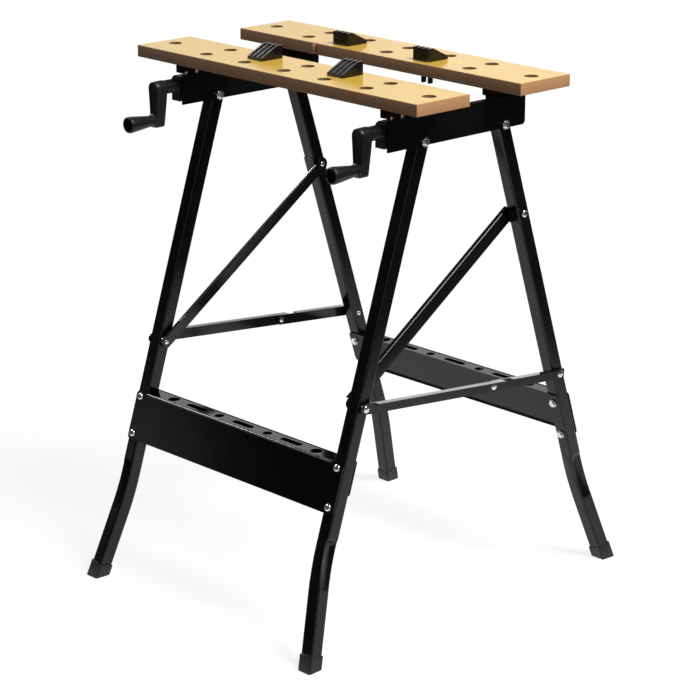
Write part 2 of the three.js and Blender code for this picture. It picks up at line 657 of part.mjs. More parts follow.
// Folded sheet round two legs: outer sheet, level pierced shelf between the legs, inner sheet.
function panelSolid() {
  const outer = [-LEG_HALF - FIT - PANEL_SHEET, -LEG_HALF - FIT];
  const inner = [LEG_HALF + FIT, LEG_HALF + FIT + PANEL_SHEET];
  const reach = LEG_X + LEG_HALF - FIT;
  const corners = [PANEL_CORNER, PANEL_CORNER, PANEL_CORNER, PANEL_CORNER];
  const outerZ = [-PANEL_TOP - PANEL_HIGH, -PANEL_TOP];
  const across = inner[0] - outer[0];
  const innerTop = -PANEL_TOP + across * Math.tan(SPLAY);
  const innerZ = [innerTop - PANEL_LIP, innerTop];
  const web = frontBody(roundedRect([-reach, reach], outerZ, corners), outer, 3);
  const lip = frontBody(roundedRect([-reach, reach], innerZ, corners), inner, 3);

  const inside = LEG_X - LEG_HALF - PANEL_END_GAP;
  const deep = across / Math.cos(SPLAY);
  const shelf = roundedRect([-inside, inside], [0, deep], [0, 0, 0, 0]);
  const line = deep / 2;
  for (const [x, r] of TOOL_HOLES) shelf.holes.push(circle(x, line, r));
  for (const x of TOOL_SLOTS) {
    const [long, wide] = [TOOL_SLOT[0] / 2, TOOL_SLOT[1] / 2];
    const ends = [wide, wide, wide, wide];
    const slot = roundedRect([x - long, x + long], [line - wide, line + wide], ends);
    shelf.holes.push(new THREE.Path(slot.getPoints(2).reverse()));
  }
  const flange = slab(shelf, PANEL_SHEET, 6).translate(0, 0, -PANEL_SHEET);
  flange.rotateX(SPLAY).translate(0, outer[0] + PANEL_SHEET / 2, -PANEL_TOP - SHELF_DROP);

  const bolts = [-1, 1].flatMap((sign) => PANEL_BOLTS.map((s) => {
    const bore = rod(PANEL_BOLT_R + FIT, [outer[0] - OVER, inner[1] + OVER], 'y');
    return bore.translate(sign * LEG_X, 0, -s);
  }));
  return cut(joined(web, flange, lip), ...bolts);
}

// The upper bolts go through both sheets, the lower ones through the outer sheet and the leg.
function panelBolt(throughLip) {
  const front = -LEG_HALF - FIT - PANEL_SHEET - FIT;
  const back = LEG_HALF + FIT + (throughLip ? PANEL_SHEET + FIT : 0);
  return turned([
    [0, front - PANEL_HEAD],
    [PANEL_HEAD_R - 2, front - PANEL_HEAD],
    [PANEL_HEAD_R, front - PANEL_HEAD / 3],
    [PANEL_HEAD_R, front],
    [PANEL_BOLT_R, front],
    [PANEL_BOLT_R, back],
    [PANEL_NUT_R, back],
    [PANEL_NUT_R, back + PANEL_NUT],
    [0, back + PANEL_NUT],
  ], 'y', 10);
}

function legFrame(end, turn, pivots) {
  const frame = new THREE.Group();
  frame.position.set(0, turn ? PIVOT_Y : -PIVOT_Y, PIVOT_Z);
  frame.rotation.order = 'ZYX';
  frame.rotation.set(-SPLAY, 0, turn);
  bench.add(frame);
  const floor = box([-LEG_X * 2, LEG_X * 2], [-LEG_X * 3, LEG_X * 3], [-FOOT_SIZE * 4, 0]);
  const toFrame = new THREE.Matrix4().compose(
    frame.position,
    new THREE.Quaternion().setFromEuler(frame.rotation),
    new THREE.Vector3(1, 1, 1),
  ).invert();
  floor.applyMatrix4(toFrame);
  for (const [side, worldSign] of SIDES) {
    const sign = turn ? -worldSign : worldSign;
    piece(frame, `leg_${end}_${side}`, legSolid(sign, pivots), BLACK_PAINT);
    piece(frame, `foot_${end}_${side}`, footSolid(sign, floor), BLACK_PLASTIC);
    PANEL_BOLTS.forEach((s, i) => {
      const place = i ? 'lower' : 'upper';
      const body = panelBolt(place === 'upper');
      const bolt = piece(frame, `panel_bolt_${end}_${side}_${place}`, body, ZINC);
      bolt.position.set(sign * LEG_X, 0, -s);
    });
  }
  piece(frame, `tool_panel_${end}`, panelSolid(), BLACK_PAINT);
}

legFrame('front', 0, [STAY_FRONT]);
legFrame('rear', Math.PI, [STRUT_TOP, STAY_REAR]);

// Struts on the inner sides of the legs, with an inward flange along the top
const STRUT_FOOT_AT = ON_FRONT_LEG(STAY_FRONT);
const STRUT_TOP_AT = ON_REAR_LEG(STRUT_TOP);
const STRUT_LONG = distance(STRUT_FOOT_AT, STRUT_TOP_AT);

function strutSolid(side) {
  const half = STRUT_HIGH / 2;
  const rounded = [half - 2.5, half - 1, half - 1, half - 2.5];
  const ends = [-STRUT_TAIL, STRUT_LONG + half];
  const webX = outward(side, -STRUT_WEB - STRUT_SHEET, -STRUT_WEB);
  const web = sideSheet(roundedRect(ends, [-half, half], rounded), webX);
  const flangeX = outward(side, -STRUT_WEB - STRUT_FLANGE, -STRUT_WEB);
  const flangeY = [STRUT_TAB, STRUT_LONG - STRUT_TAB];
  const flange = box(flangeX, flangeY, [half - STRUT_SHEET, half]);
  const x = outward(side, -STRUT_WEB - STRUT_SHEET - OVER, -STRUT_WEB + OVER);
  const holes = [0, STRUT_LONG].map((y) => rod(RIVET_R + FIT, x, 'x').translate(0, y, 0));
  return cut(joined(web, flange), ...holes);
}

// Folding stays on the outer sides of the legs, with an outward flange along the top
const STAY_REAR_AT = ON_REAR_LEG(STAY_REAR);
const STAY_LONG = distance(STRUT_FOOT_AT, STAY_REAR_AT);
const FRONT_LINK_LONG = STAY_LONG * STAY_SPLIT;
const REAR_LINK_LONG = STAY_LONG - FRONT_LINK_LONG;
const STAY_MIDDLE_AT = STRUT_FOOT_AT.map((v, i) => v + (STAY_REAR_AT[i] - v) * STAY_SPLIT);

function linkSolid(side, near, long, tail, flangeY) {
  const half = STAY_HIGH / 2;
  const round = half - 1;
  const sheetX = outward(side, near, near + STAY_SHEET);
  const ends = [-half - 1, long + tail];
  const sheet = sideSheet(roundedRect(ends, [-half, half], [round, 2, 2, round]), sheetX);
  const flangeX = outward(side, near, near + STAY_SHEET + STAY_FLANGE);
  const flange = box(flangeX, flangeY, [half - STAY_SHEET, half]);
  const x = outward(side, near - OVER, near + STAY_SHEET + OVER);
  const holes = [0, long].map((y) => rod(RIVET_R + FIT, x, 'x').translate(0, y, 0));
  return cut(joined(sheet, flange), ...holes);
}

for (const [side, sign] of SIDES) {
  const strut = groupAlong(STRUT_FOOT_AT, STRUT_TOP_AT);
  piece(strut, `strut_${side}`, strutSolid(sign), BLACK_PAINT);

  const frontLink = groupAlong(STRUT_FOOT_AT, STAY_MIDDLE_AT);
  const frontFlange = [STAY_HIGH, FRONT_LINK_LONG + STAY_TAIL - 2];
  const front = linkSolid(sign, FRONT_LINK, FRONT_LINK_LONG, STAY_TAIL, frontFlange);
  piece(frontLink, `stay_front_${side}`, front, BLACK_PAINT);

  const rearLink = groupAlong(STAY_MIDDLE_AT, STAY_REAR_AT);
  const rearFlange = [STAY_TAIL + STAY_HIGH, REAR_LINK_LONG - STAY_HIGH / 2];
  const rear = linkSolid(sign, REAR_LINK, REAR_LINK_LONG, STAY_HIGH / 2 + 1, rearFlange);
  piece(rearLink, `stay_rear_${side}`, rear, BLACK_PAINT);

  // One rivet holds strut, front leg and stay; its collars space both off the leg.
  const inside = -STRUT_WEB - STRUT_SHEET - FIT;
  const shared = rivet(sign, [
    [0, inside - RIVET_TAIL],
    [RIVET_TAIL_R, inside - RIVET_TAIL],
    [RIVET_TAIL_R, inside],
    [RIVET_R, inside],
    [RIVET_R, -STRUT_WEB + FIT],
    [RIVET_HEAD_R, -STRUT_WEB + FIT],
    [RIVET_HEAD_R, -LEG_HALF - FIT],
    [RIVET_R, -LEG_HALF - FIT],
    [RIVET_R, LEG_HALF + FIT],
    [RIVET_HEAD_R, LEG_HALF + FIT],
    [RIVET_HEAD_R, FRONT_LINK - FIT],
    [RIVET_R, FRONT_LINK - FIT],
    [RIVET_R, STAY_OUTER + FIT],
    [RIVET_HEAD_R, STAY_OUTER + FIT],
    [RIVET_HEAD_R - 1.2, STAY_OUTER + FIT + RIVET_HEAD],
    [0, STAY_OUTER + FIT + RIVET_HEAD],
  ]);
  const [ay, az] = STRUT_FOOT_AT;
  piece(bench, `rivet_front_${side}`, shared.translate(0, ay, az), ZINC);

  const strutTop = rivet(sign, [
    [0, inside - RIVET_TAIL],
    [RIVET_TAIL_R, inside - RIVET_TAIL],
    [RIVET_TAIL_R, inside],
    [RIVET_R, inside],
    [RIVET_R, -STRUT_WEB + FIT],
    [RIVET_HEAD_R, -STRUT_WEB + FIT],
    [RIVET_HEAD_R, -LEG_HALF - FIT],
    [0, -LEG_HALF - FIT],
  ]);
  const [by, bz] = STRUT_TOP_AT;
  piece(bench, `rivet_strut_${side}`, strutTop.translate(0, by, bz), ZINC);

  const middle = rivet(sign, [
    [0, REAR_LINK - FIT - RIVET_FLUSH],
    [RIVET_TAIL_R, REAR_LINK - FIT - RIVET_FLUSH],
    [RIVET_TAIL_R, REAR_LINK - FIT],
    [RIVET_R, REAR_LINK - FIT],
    [RIVET_R, STAY_OUTER + FIT],
    [RIVET_HEAD_R, STAY_OUTER + FIT],
    [RIVET_HEAD_R - 1.2, STAY_OUTER + FIT + RIVET_HEAD],
    [0, STAY_OUTER + FIT + RIVET_HEAD],
  ]);
  const [my, mz] = STAY_MIDDLE_AT;
  piece(bench, `rivet_stay_middle_${side}`, middle.translate(0, my, mz), ZINC);

  const rearOuter = REAR_LINK + STAY_SHEET + FIT;
  const stayRear = rivet(sign, [
    [0, REAR_LINK - FIT - RIVET_FLUSH],
    [RIVET_TAIL_R, REAR_LINK - FIT - RIVET_FLUSH],
    [RIVET_TAIL_R, REAR_LINK - FIT],
    [RIVET_R, REAR_LINK - FIT],
    [RIVET_R, rearOuter],
    [RIVET_HEAD_R, rearOuter],
    [RIVET_HEAD_R - 1.2, rearOuter + RIVET_HEAD],
    [0, rearOuter + RIVET_HEAD],
  ]);
  const [dy, dz] = STAY_REAR_AT;
  piece(bench, `rivet_stay_rear_${side}`, stayRear.translate(0, dy, dz), ZINC);
}

export default bench;
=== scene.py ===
"""Looks of the folding workbench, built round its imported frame. Metres, +Z up, cranks at -Y."""

import math

import bmesh
import bpy
from mathutils import Matrix, Vector


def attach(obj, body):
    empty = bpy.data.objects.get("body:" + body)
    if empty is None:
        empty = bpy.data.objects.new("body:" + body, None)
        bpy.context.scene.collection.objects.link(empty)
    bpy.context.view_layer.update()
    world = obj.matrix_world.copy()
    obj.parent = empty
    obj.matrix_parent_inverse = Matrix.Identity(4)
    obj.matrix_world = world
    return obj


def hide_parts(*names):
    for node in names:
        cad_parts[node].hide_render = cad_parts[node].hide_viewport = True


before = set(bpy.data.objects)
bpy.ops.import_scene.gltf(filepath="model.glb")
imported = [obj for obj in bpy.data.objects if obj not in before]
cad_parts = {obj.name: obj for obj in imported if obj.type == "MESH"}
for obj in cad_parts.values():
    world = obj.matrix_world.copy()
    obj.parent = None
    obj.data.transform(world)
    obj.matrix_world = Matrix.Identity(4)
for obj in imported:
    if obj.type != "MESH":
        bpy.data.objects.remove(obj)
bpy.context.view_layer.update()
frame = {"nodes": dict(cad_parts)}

MM = 0.001

# Sizes of the bench in millimetres; distances on a leg run down from its pivot
LEG_X = 220.7
LEG_HALF = 11.0
LEG_CORNER = 2.6
LEG_WALL = 1.6
LEG_ABOVE_PIVOT = 10.0
LEG_PLUG = 40.0
PIVOT_Y = 82.0
PIVOT_Z = 730.5
FOOT_Y = 315.0
BEND_START = 590.0
BEND_LENGTH = 70.0
BEND_ANGLE = math.radians(9.2)
BEND_STEPS = 26
STATIONS_ABOVE_BEND = (150, 300, 450, 540, 572, 576, 578.5, 581, 583.5, 586)
STATIONS_BELOW_BEND = (676, 692, 712)
DENT = (577.0, 655.0)
DENT_STEP = 8.0
DENT_CORNERS = 2.4
DENT_MIDDLE = 5.0
DENT_BULGE = 1.0
FOOT_HALF = 12.7
FOOT_CORNER = 3.0
FOOT_HIGH = 22.0
FOOT_SOLE = 7.0
FOOT_SHOULDER = 1.6
FOOT_NOTCH = 0.965
BOARD_TOP = 806.0
BOARD_THICK = 18.0
BOARD_LENGTH = 600.0
BOARD_WIDTH = 103.0
BOARD_EASE = 0.9
BOARD_CLEAR = 3.0
FRONT_JAW_Y = -114.0
REAR_JAW_Y = 92.0
DOG_R = 10.0
DOG_PITCH = 86.0
DOG_ROW = 23.5
DOG_END_X = 272.0
PIPE_GROOVE_X = -127.0
PIPE_GROOVE = 5.0
PEG_GRIP = 13.5
HATCH_PITCH = 3.4
HATCH_HALF = 1.62
HATCH_LOW = 2.6
HATCH_ROWS = 9
HATCH_REACH = 14.2
HATCH_HIGH = 0.85
SCREW_Z = 754.5
SCREW_R = 6.0
SCREW_ROOT = 4.7
SCREW_LEAD = 5.0
SCREW_THREAD = (-125.7, 108.0)
CRANK_FRONT = -202.0
CRANK_DEEP = 20.0
CRANK_TIP_DEEP = 16.0
CRANK_THROW = 47.5
CRANK_HUB_R = 11.3
CRANK_WAIST_HALF = 9.8
CRANK_WAIST = 0.45
CRANK_TIP_HALF = 8.0
CRANK_TIP_LOW = 11.0
CRANK_TIP_CORNER = 4.5
CRANK_PIN_R = 5.2
CRANK_PIN_END = 242.2
HUB_BACK = -157.3
HUB_R = 10.5
HUB_NECK_R = 9.6
HUB_BORE_R = 5.4
HUB_COLLAR = 3.0
HUB_RIB = 0.9
GRIP_BACK = -202.3
GRIP_END = -251.3
STAY_FRONT = 385.5
STAY_REAR = 426.5
STAY_SPLIT = 0.637
STRUT_TOP = 147.5
STRUT_WEB = 13.8
STRUT_SHEET = 1.8
STRUT_HALF = 10.5
STRUT_FLANGE = 7.5
STRUT_TAIL = 8.0
STRUT_FOLD = 2.8
SADDLE_BEND = 1.8
SADDLE_RADII = (2.0, 3.3)
SADDLE_ARM = 7.0
SADDLE_HALF = 12.5
SADDLE_SIDE = LEG_HALF + 1.5
REAR_LINK = LEG_HALF + 1.6
FRONT_LINK = LEG_HALF + 3.9
STAY_SHEET = 2.0
RIVET_R = 3.0
RIVET_HEAD_R = 5.5
RIVET_TAIL_R = 4.0
RIVET_HEAD = 2.2
RIVET_TAIL = 1.8
PANEL_BOLT_R = 3.0
PANEL_BOLT_HEAD_R = 5.5
PIVOT_BOLT_R = 4.0
PIVOT_BOLT_HEAD_R = 5.6
FIT = 0.3
PANEL_BOLTS = (476.3, 534.3)
PANEL_INSIDE = (474.0, 543.2)
PANEL_TOP = 468.7
PANEL_FOLD = 2.6
PANEL_FACE = LEG_HALF + 2.0
RAIL_WEB = (LEG_HALF + 0.6, LEG_HALF + 2.6)
RAIL_TOP = 771.0

# Rings of a crank arm as (growth of its outline, distance from its front or back face)
CRANK_FRONT_RINGS = ((-3.4, 1.5), (-3.0, 1.4), (-2.5, 0.15), (-1.6, 0.0), (-0.6, 0.35), (0, 1.5),
                     (0, 6.5), (-0.8, 7.2), (-0.8, 8.4), (0, 9.1))
CRANK_BACK_RINGS = ((0, 1.5), (-0.5, 0.4), (-1.6, 0.0))

# Grip of a crank as (radius, distance from its back end) and (radius, distance from its front end)
GRIP_FROM_BACK = ((3.9, 0), (9.6, 0), (10.2, 0.5), (10.2, 2.4), (9.6, 3.0), (8.3, 3.5), (8.3, 6),
                  (8.9, 12), (9.8, 20), (10.9, 29), (11.8, 37), (12.35, 43), (12.5, 46), (12.3, 47.6),
                  (11.8, 48.6))
GRIP_FROM_END = ((11.0, 0), (10.2, 0.3), (9.7, 1.2), (9.5, 3), (9.3, 8.6), (8.9, 9), (3.9, 9))

# Screws on a rail's flange as (distance to +X of the leg, Y, radius, height)
FLANGE_SCREWS = ((5.6, -141.6, 2.7, 3.6), (6.4, -122.0, 3.6, 4.6))

# View and light, in metres, with the sensor in millimetres
CAMERA_AZIMUTH = math.radians(46.66)
CAMERA_ELEVATION = math.radians(17.4)
CAMERA_PLACE = (2.70575, -2.56372, 1.5254)
SENSOR = 36.0
FOCAL_PER_WIDTH = 2555.5 / 696
WORLD_LEVEL = 0.1
MIRROR_LEVEL = 0.04
BEHIND_EDGE = (0.35, 0.8)
CARD_LEVEL = 0.55
CARD_EDGE = (0.86, 0.93)
GLOW_LEVEL = 0.45
GLOW_DIRECTION = (-0.745, -0.67, 0.06)
GLOW_EDGE = (0.99919, 0.99998)
FLOOR_RADIUS = 14
FLOOR_DROP = 0.0005
FLOOR_TONE = 0.25
FLOOR_FAR = 0.06
FLOOR_NEAR = 0.84
FLOOR_MIRROR = 0.72
LAMP_TARGET = (0, 0, 0.5)

# Lamps as (name, direction from the bench, distance, (width, height), level, only a glint)
LAMPS = (
    ("key", (0.57, 0.07, 0.82), 6.0, (2.6, 2.6), 1.16, False),
    ("panel_glint", (-0.743, -0.493, 0.453), 3.77, (0.9, 0.4), 0.4, True),
    ("stay_glint", (-0.649, 0.742, 0.155), 7.76, (1.1, 0.5), 0.0036, True),
    ("peg_glint", (-0.82, 0.25, 0.51), 4.0, (0.5, 0.5), 0.35, True),
)

SPLAY = math.atan2(FOOT_Y - PIVOT_Y, PIVOT_Z)
LEG_LINE = PIVOT_Z / math.cos(SPLAY)
SIDES = (("left", -1), ("right", 1))
QUARTER = [math.radians(a) for a in range(0, 91, 15)]


def frame_matrix(end):
    """Millimetres in a leg frame, -Z down the leg and +Y to the inside, to millimetres in the bench."""
    hang = Matrix.Translation((0, -PIVOT_Y, PIVOT_Z)) @ Matrix.Rotation(-SPLAY, 4, "X")
    return hang if end == "front" else Matrix.Rotation(math.pi, 4, "Z") @ hang


def local_sign(end, sign):
    """Side of the bench, -1 or 1, as seen in a leg frame; the rear one is turned half round."""
    return sign if end == "front" else -sign


def point_on_leg(end, down):
    """(Y, Z) of the leg's centre line at that distance below its pivot."""
    p = frame_matrix(end) @ Vector((0, 0, -down))
    return p.y, p.z


# Materials


def new_material(name):
    mat = bpy.data.materials.new(name)
    mat.use_nodes = True
    nodes = mat.node_tree.nodes
    return mat, nodes, mat.node_tree.links, nodes["Principled BSDF"]


def noise(nodes, links, scale, detail=3.0, stretch=(1, 1, 1)):
    """Noise in the piece's own coordinates, in metres."""
    coords = nodes.new("ShaderNodeTexCoord")
    mapping = nodes.new("ShaderNodeMapping")
    mapping.inputs["Scale"].default_value = stretch
    texture = nodes.new("ShaderNodeTexNoise")
    texture.inputs["Scale"].default_value = scale
    texture.inputs["Detail"].default_value = detail
    links.new(coords.outputs["Object"], mapping.inputs["Vector"])
    links.new(mapping.outputs["Vector"], texture.inputs["Vector"])
    return texture.outputs["Fac"]


def ramp(nodes, links, value, stops):
    """Colour by a value, from (value, colour) stops."""
    node = nodes.new("ShaderNodeValToRGB")
    elements = node.color_ramp.elements
    while len(elements) < len(stops):
        elements.new(0.5)
    for element, (place, color) in zip(elements, stops):
        element.position = place
        element.color = (*color, 1)
    links.new(value, node.inputs["Fac"])
    return node.outputs["Color"]


def spread(nodes, links, value, low, high):
    """Noise, which keeps near its middle, spread from low to high."""
    node = nodes.new("ShaderNodeMapRange")
    node.inputs["From Min"].default_value = 0.3
    node.inputs["From Max"].default_value = 0.7
    node.inputs["To Min"].default_value = low
    node.inputs["To Max"].default_value = high
    links.new(value, node.inputs["Value"])
    return node.outputs["Result"]


def bump(nodes, links, value, bsdf, strength, distance):
    node = nodes.new("ShaderNodeBump")
    node.inputs["Strength"].default_value = strength
    node.inputs["Distance"].default_value = distance
    links.new(value, node.inputs["Height"])
    links.new(node.outputs["Normal"], bsdf.inputs["Normal"])


def make_black(name, dark, light, roughness, specular, grain, relief):
    """Black finish with faint clouds in its tone and gloss, and a fine skin of given grain per metre."""
    mat, nodes, links, bsdf = new_material(name)
    cloud = noise(nodes, links, 18, 4)
    color = ramp(nodes, links, cloud, [
        (0.3, (dark, dark, dark * 1.04)),
        (0.7, (light, light, light * 1.04)),
    ])
    links.new(color, bsdf.inputs["Base Color"])
    links.new(spread(nodes, links, cloud, *roughness), bsdf.inputs["Roughness"])
    bsdf.inputs["Specular IOR Level"].default_value = specular
    bump(nodes, links, noise(nodes, links, grain, 2), bsdf, relief, 0.0002)
    return mat


def make_zinc():
    mat, nodes, links, bsdf = new_material("zinc")
    cloud = noise(nodes, links, 260, 3)
    color = ramp(nodes, links, cloud, [(0.3, (0.74, 0.75, 0.76)), (0.7, (0.88, 0.89, 0.9))])
    links.new(color, bsdf.inputs["Base Color"])
    links.new(spread(nodes, links, cloud, 0.16, 0.28), bsdf.inputs["Roughness"])
    bsdf.inputs["Metallic"].default_value = 1.0
    bump(nodes, links, noise(nodes, links, 1500, 2), bsdf, 0.1, 0.0001)
    return mat


def make_screw_steel():
    mat, nodes, links, bsdf = new_material("screw_steel")
    cloud = noise(nodes, links, 180, 4)
    color = ramp(nodes, links, cloud, [(0.3, (0.2, 0.2, 0.205)), (0.7, (0.34, 0.345, 0.35))])
    links.new(color, bsdf.inputs["Base Color"])
    links.new(spread(nodes, links, cloud, 0.28, 0.45), bsdf.inputs["Roughness"])
    bsdf.inputs["Metallic"].default_value = 1.0
    bump(nodes, links, noise(nodes, links, 900, 3), bsdf, 0.15, 0.0001)
    return mat


def make_laminate():
    """Pale printed wood face: long faint streaks along the board and a smooth glossy film."""
    mat, nodes, links, bsdf = new_material("board_face")
    streak = noise(nodes, links, 60, 6, (0.05, 1.0, 1.0))
    color = ramp(nodes, links, streak, [
        (0.25, (0.735, 0.457, 0.065)),
        (0.5, (0.778, 0.486, 0.073)),
        (0.75, (0.82, 0.514, 0.081)),
    ])
    links.new(color, bsdf.inputs["Base Color"])
    links.new(spread(nodes, links, noise(nodes, links, 25, 3), 0.16, 0.22), bsdf.inputs["Roughness"])
    bsdf.inputs["Specular IOR Level"].default_value = 0.22
    bump(nodes, links, streak, bsdf, 0.04, 0.0002)
    return mat


def make_fibre(name, tone):
    """Cut fibreboard: brown fibres pressed in thin layers."""
    mat, nodes, links, bsdf = new_material(name)
    fibre = noise(nodes, links, 420, 5, (1.0, 1.0, 2.2))
    colors = ((0.25, (0.47, 0.245, 0.108)), (0.55, (0.59, 0.315, 0.15)), (0.8, (0.68, 0.38, 0.19)))
    color = ramp(nodes, links, fibre, [(place, [tone * c for c in rgb]) for place, rgb in colors])
    links.new(color, bsdf.inputs["Base Color"])
    links.new(spread(nodes, links, fibre, 0.6, 0.78), bsdf.inputs["Roughness"])
    bsdf.inputs["Specular IOR Level"].default_value = 0.3
    bump(nodes, links, fibre, bsdf, 0.3, 0.0003)
    return mat


# Mesh building


def add_piece(name, bm, body, mat, replaced=(), smooth_angle=40):
    """Makes a bmesh, in millimetres in the bench, a piece in metres that rides on a body."""
    bmesh.ops.transform(bm, matrix=Matrix.Scale(MM, 4), verts=bm.verts)
    bmesh.ops.recalc_face_normals(bm, faces=bm.faces)
    mesh = bpy.data.meshes.new(name)
    for face in bm.faces:
        face.smooth = True
    bm.to_mesh(mesh)
    bm.free()
    mesh.materials.append(mat)
    mesh.set_sharp_from_angle(angle=math.radians(smooth_angle))
    obj = bpy.data.objects.new(name, mesh)
    bpy.context.scene.collection.objects.link(obj)
    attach(obj, body)
    if replaced:
        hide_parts(*replaced)
    return obj


def add_rings(bm, rings, cap_start=True, cap_end=True):
    """Skin over closed rings of points, with the ends filled where asked."""
    loops = [[bm.verts.new(p) for p in ring] for ring in rings]
    count = len(rings[0])
    for a, b in zip(loops, loops[1:]):
        for i in range(count):
            j = (i + 1) % count
            bm.faces.new((a[i], a[j], b[j], b[i]))
    if cap_start:
        bm.faces.new(list(reversed(loops[0])))
    if cap_end:
        bm.faces.new(loops[-1])


def add_turned(bm, profile, matrix, segments=28):
    """Body turned about its local Z from (radius, height) pairs; radius 0 closes it at a point.

    A radius may be a function of the angle, for a section that isn't round."""
    rings = []
    for radius, height in profile:
        if not callable(radius) and radius <= 1e-6:
            rings.append([bm.verts.new(matrix @ Vector((0, 0, height)))])
            continue
        ring = []
        for i in range(segments):
            turn = 2 * math.pi * i / segments
            r = radius(turn) if callable(radius) else radius
            at = Vector((r * math.cos(turn), r * math.sin(turn), height))
            ring.append(bm.verts.new(matrix @ at))
        rings.append(ring)
    for a, b in zip(rings, rings[1:]):
        for i in range(segments):
            j = (i + 1) % segments
            if len(a) == 1 and len(b) > 1:
                bm.faces.new((a[0], b[i], b[j]))
            elif len(b) == 1 and len(a) > 1:
                bm.faces.new((a[i], a[j], b[0]))
            elif len(a) > 1:
                bm.faces.new((a[i], a[j], b[j], b[i]))


def rounded_square(half, radius, corner_steps, face_steps):
    """Points round a square with rounded corners, anticlockwise, with extra points on its faces."""
    points = []
    inner = half - radius
    for k, (cx, cy) in enumerate(((1, -1), (1, 1), (-1, 1), (-1, -1))):
        for i in range(corner_steps + 1):
            turn = math.radians(-90 + 90 * k + 90 * i / corner_steps)
            at = (cx * inner + radius * math.cos(turn), cy * inner + radius * math.sin(turn))
            points.append(at)
        nx, ny = ((1, 1), (-1, 1), (-1, -1), (1, -1))[k]
        turn = math.radians(90 * k)
        start = points[-1]
        stop = (nx * inner + radius * math.cos(turn), ny * inner + radius * math.sin(turn))
        for i in range(1, face_steps):
            t = i / face_steps
            points.append((start[0] + (stop[0] - start[0]) * t, start[1] + (stop[1] - start[1]) * t))
    return points


def axis_matrix(point, direction):
    """Places local Z along a direction at a point."""
    turn = Vector((0, 0, 1)).rotation_difference(Vector(direction)).to_matrix().to_4x4()
    return Matrix.Translation(point) @ turn


def dome(radius, height, base):
    """Profile of a domed head, from its rim at base up to its crown."""
    steps = ((1.0, 0.0), (1.0, 0.22), (0.93, 0.5), (0.76, 0.78), (0.48, 0.94), (0.2, 1.0), (0, 1.0))
    return [(radius * r, base + height * h) for r, h in steps]


def cross(reach):
    """Radius of a cross recess by angle."""
    return lambda turn: reach * (0.4 + 0.6 * abs(math.cos(2 * turn)) ** 3)


def drive_head(radius, height, base, recess, deep):
    """Profile of a domed head with a recess for the driver in its crown."""
    steps = ((1.0, 0.0), (1.0, 0.3), (0.96, 0.55), (0.87, 0.78), (0.74, 0.92), (0.58, 0.98))
    top = base + height
    bottom = top - deep
    inner = (lambda turn: 0.8 * recess(turn)) if callable(recess) else 0.8 * recess
    rim = [(radius * r, base + height * h) for r, h in steps]
    return rim + [(recess, top), (inner, bottom), (0, bottom)]


# Boards


def board_curve(centre_y, groove):
    """Flat outline with its dog holes, drawn smaller by the eased edge that the bevel adds back."""
    curve = bpy.data.curves.new("board_outline", "CURVE")
    curve.dimensions = "2D"
    curve.fill_mode = "BOTH"
    half_x, half_y = BOARD_LENGTH / 2 - BOARD_EASE, BOARD_WIDTH / 2 - BOARD_EASE
    x0, x1 = -half_x, half_x
    y0, y1 = centre_y - half_y, centre_y + half_y
    outline = [(x0, y0)]
    if groove:
        left, right = groove - PIPE_GROOVE, groove + PIPE_GROOVE
        outline += [(left, y0), (groove, y0 + PIPE_GROOVE), (right, y0)]
    outline += [(x1, y0), (x1, y1), (x0, y1)]
    loops = [outline]
    centres = [(c * DOG_PITCH, centre_y + r * DOG_ROW) for c in range(-2, 3) for r in (-1, 1)]
    centres += [(-DOG_END_X, centre_y), (DOG_END_X, centre_y)]
    radius = DOG_R + BOARD_EASE
    for cx, cy in centres:
        turns = [2 * math.pi * i / 40 for i in range(40)]
        loops.append([(cx + radius * math.cos(t), cy + radius * math.sin(t)) for t in turns])
    for loop in loops:
        spline = curve.splines.new("POLY")
        spline.points.add(len(loop) - 1)
        spline.use_cyclic_u = True
        for point, (x, y) in zip(spline.points, loop):
            point.co = (x * MM, y * MM, 0, 1)
    curve.extrude = (BOARD_THICK / 2 - BOARD_EASE) * MM
    curve.bevel_depth = BOARD_EASE * MM
    curve.bevel_resolution = 2
    return curve


def in_dog_hole(point):
    """Is a point, in metres, on the wall of a dog hole rather than on the outside of a board?"""
    x, y = abs(point.x) / MM, abs(point.y / MM - (FRONT_JAW_Y if point.y < 0 else REAR_JAW_Y))
    return x < BOARD_LENGTH / 2 - BOARD_CLEAR and y < BOARD_WIDTH / 2 - PIPE_GROOVE - BOARD_CLEAR


def add_board(node, centre_y, groove, body, face, edge, hole_shade):
    curve = board_curve(centre_y, groove)
    drawn = bpy.data.objects.new("board_outline", curve)
    bpy.context.scene.collection.objects.link(drawn)
    mesh = bpy.data.meshes.new_from_object(drawn.evaluated_get(bpy.context.evaluated_depsgraph_get()))
    bpy.data.objects.remove(drawn)
    mesh.transform(Matrix.Translation((0, 0, (BOARD_TOP - BOARD_THICK / 2) * MM)))
    mesh.materials.clear()
    for mat in (face, edge, hole_shade):
        mesh.materials.append(mat)
    for polygon in mesh.polygons:
        # Walls of the dog holes take the darker fibre: painted shade inside the holes
        side = 2 if in_dog_hole(polygon.center) else 1
        polygon.material_index = 0 if abs(polygon.normal.z) > 0.9 else side
        polygon.use_smooth = True
    mesh.set_sharp_from_angle(angle=math.radians(30))
    obj = bpy.data.objects.new(node + "_board", mesh)
    bpy.context.scene.collection.objects.link(obj)
    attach(obj, body)
    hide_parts(node)


# Legs and feet


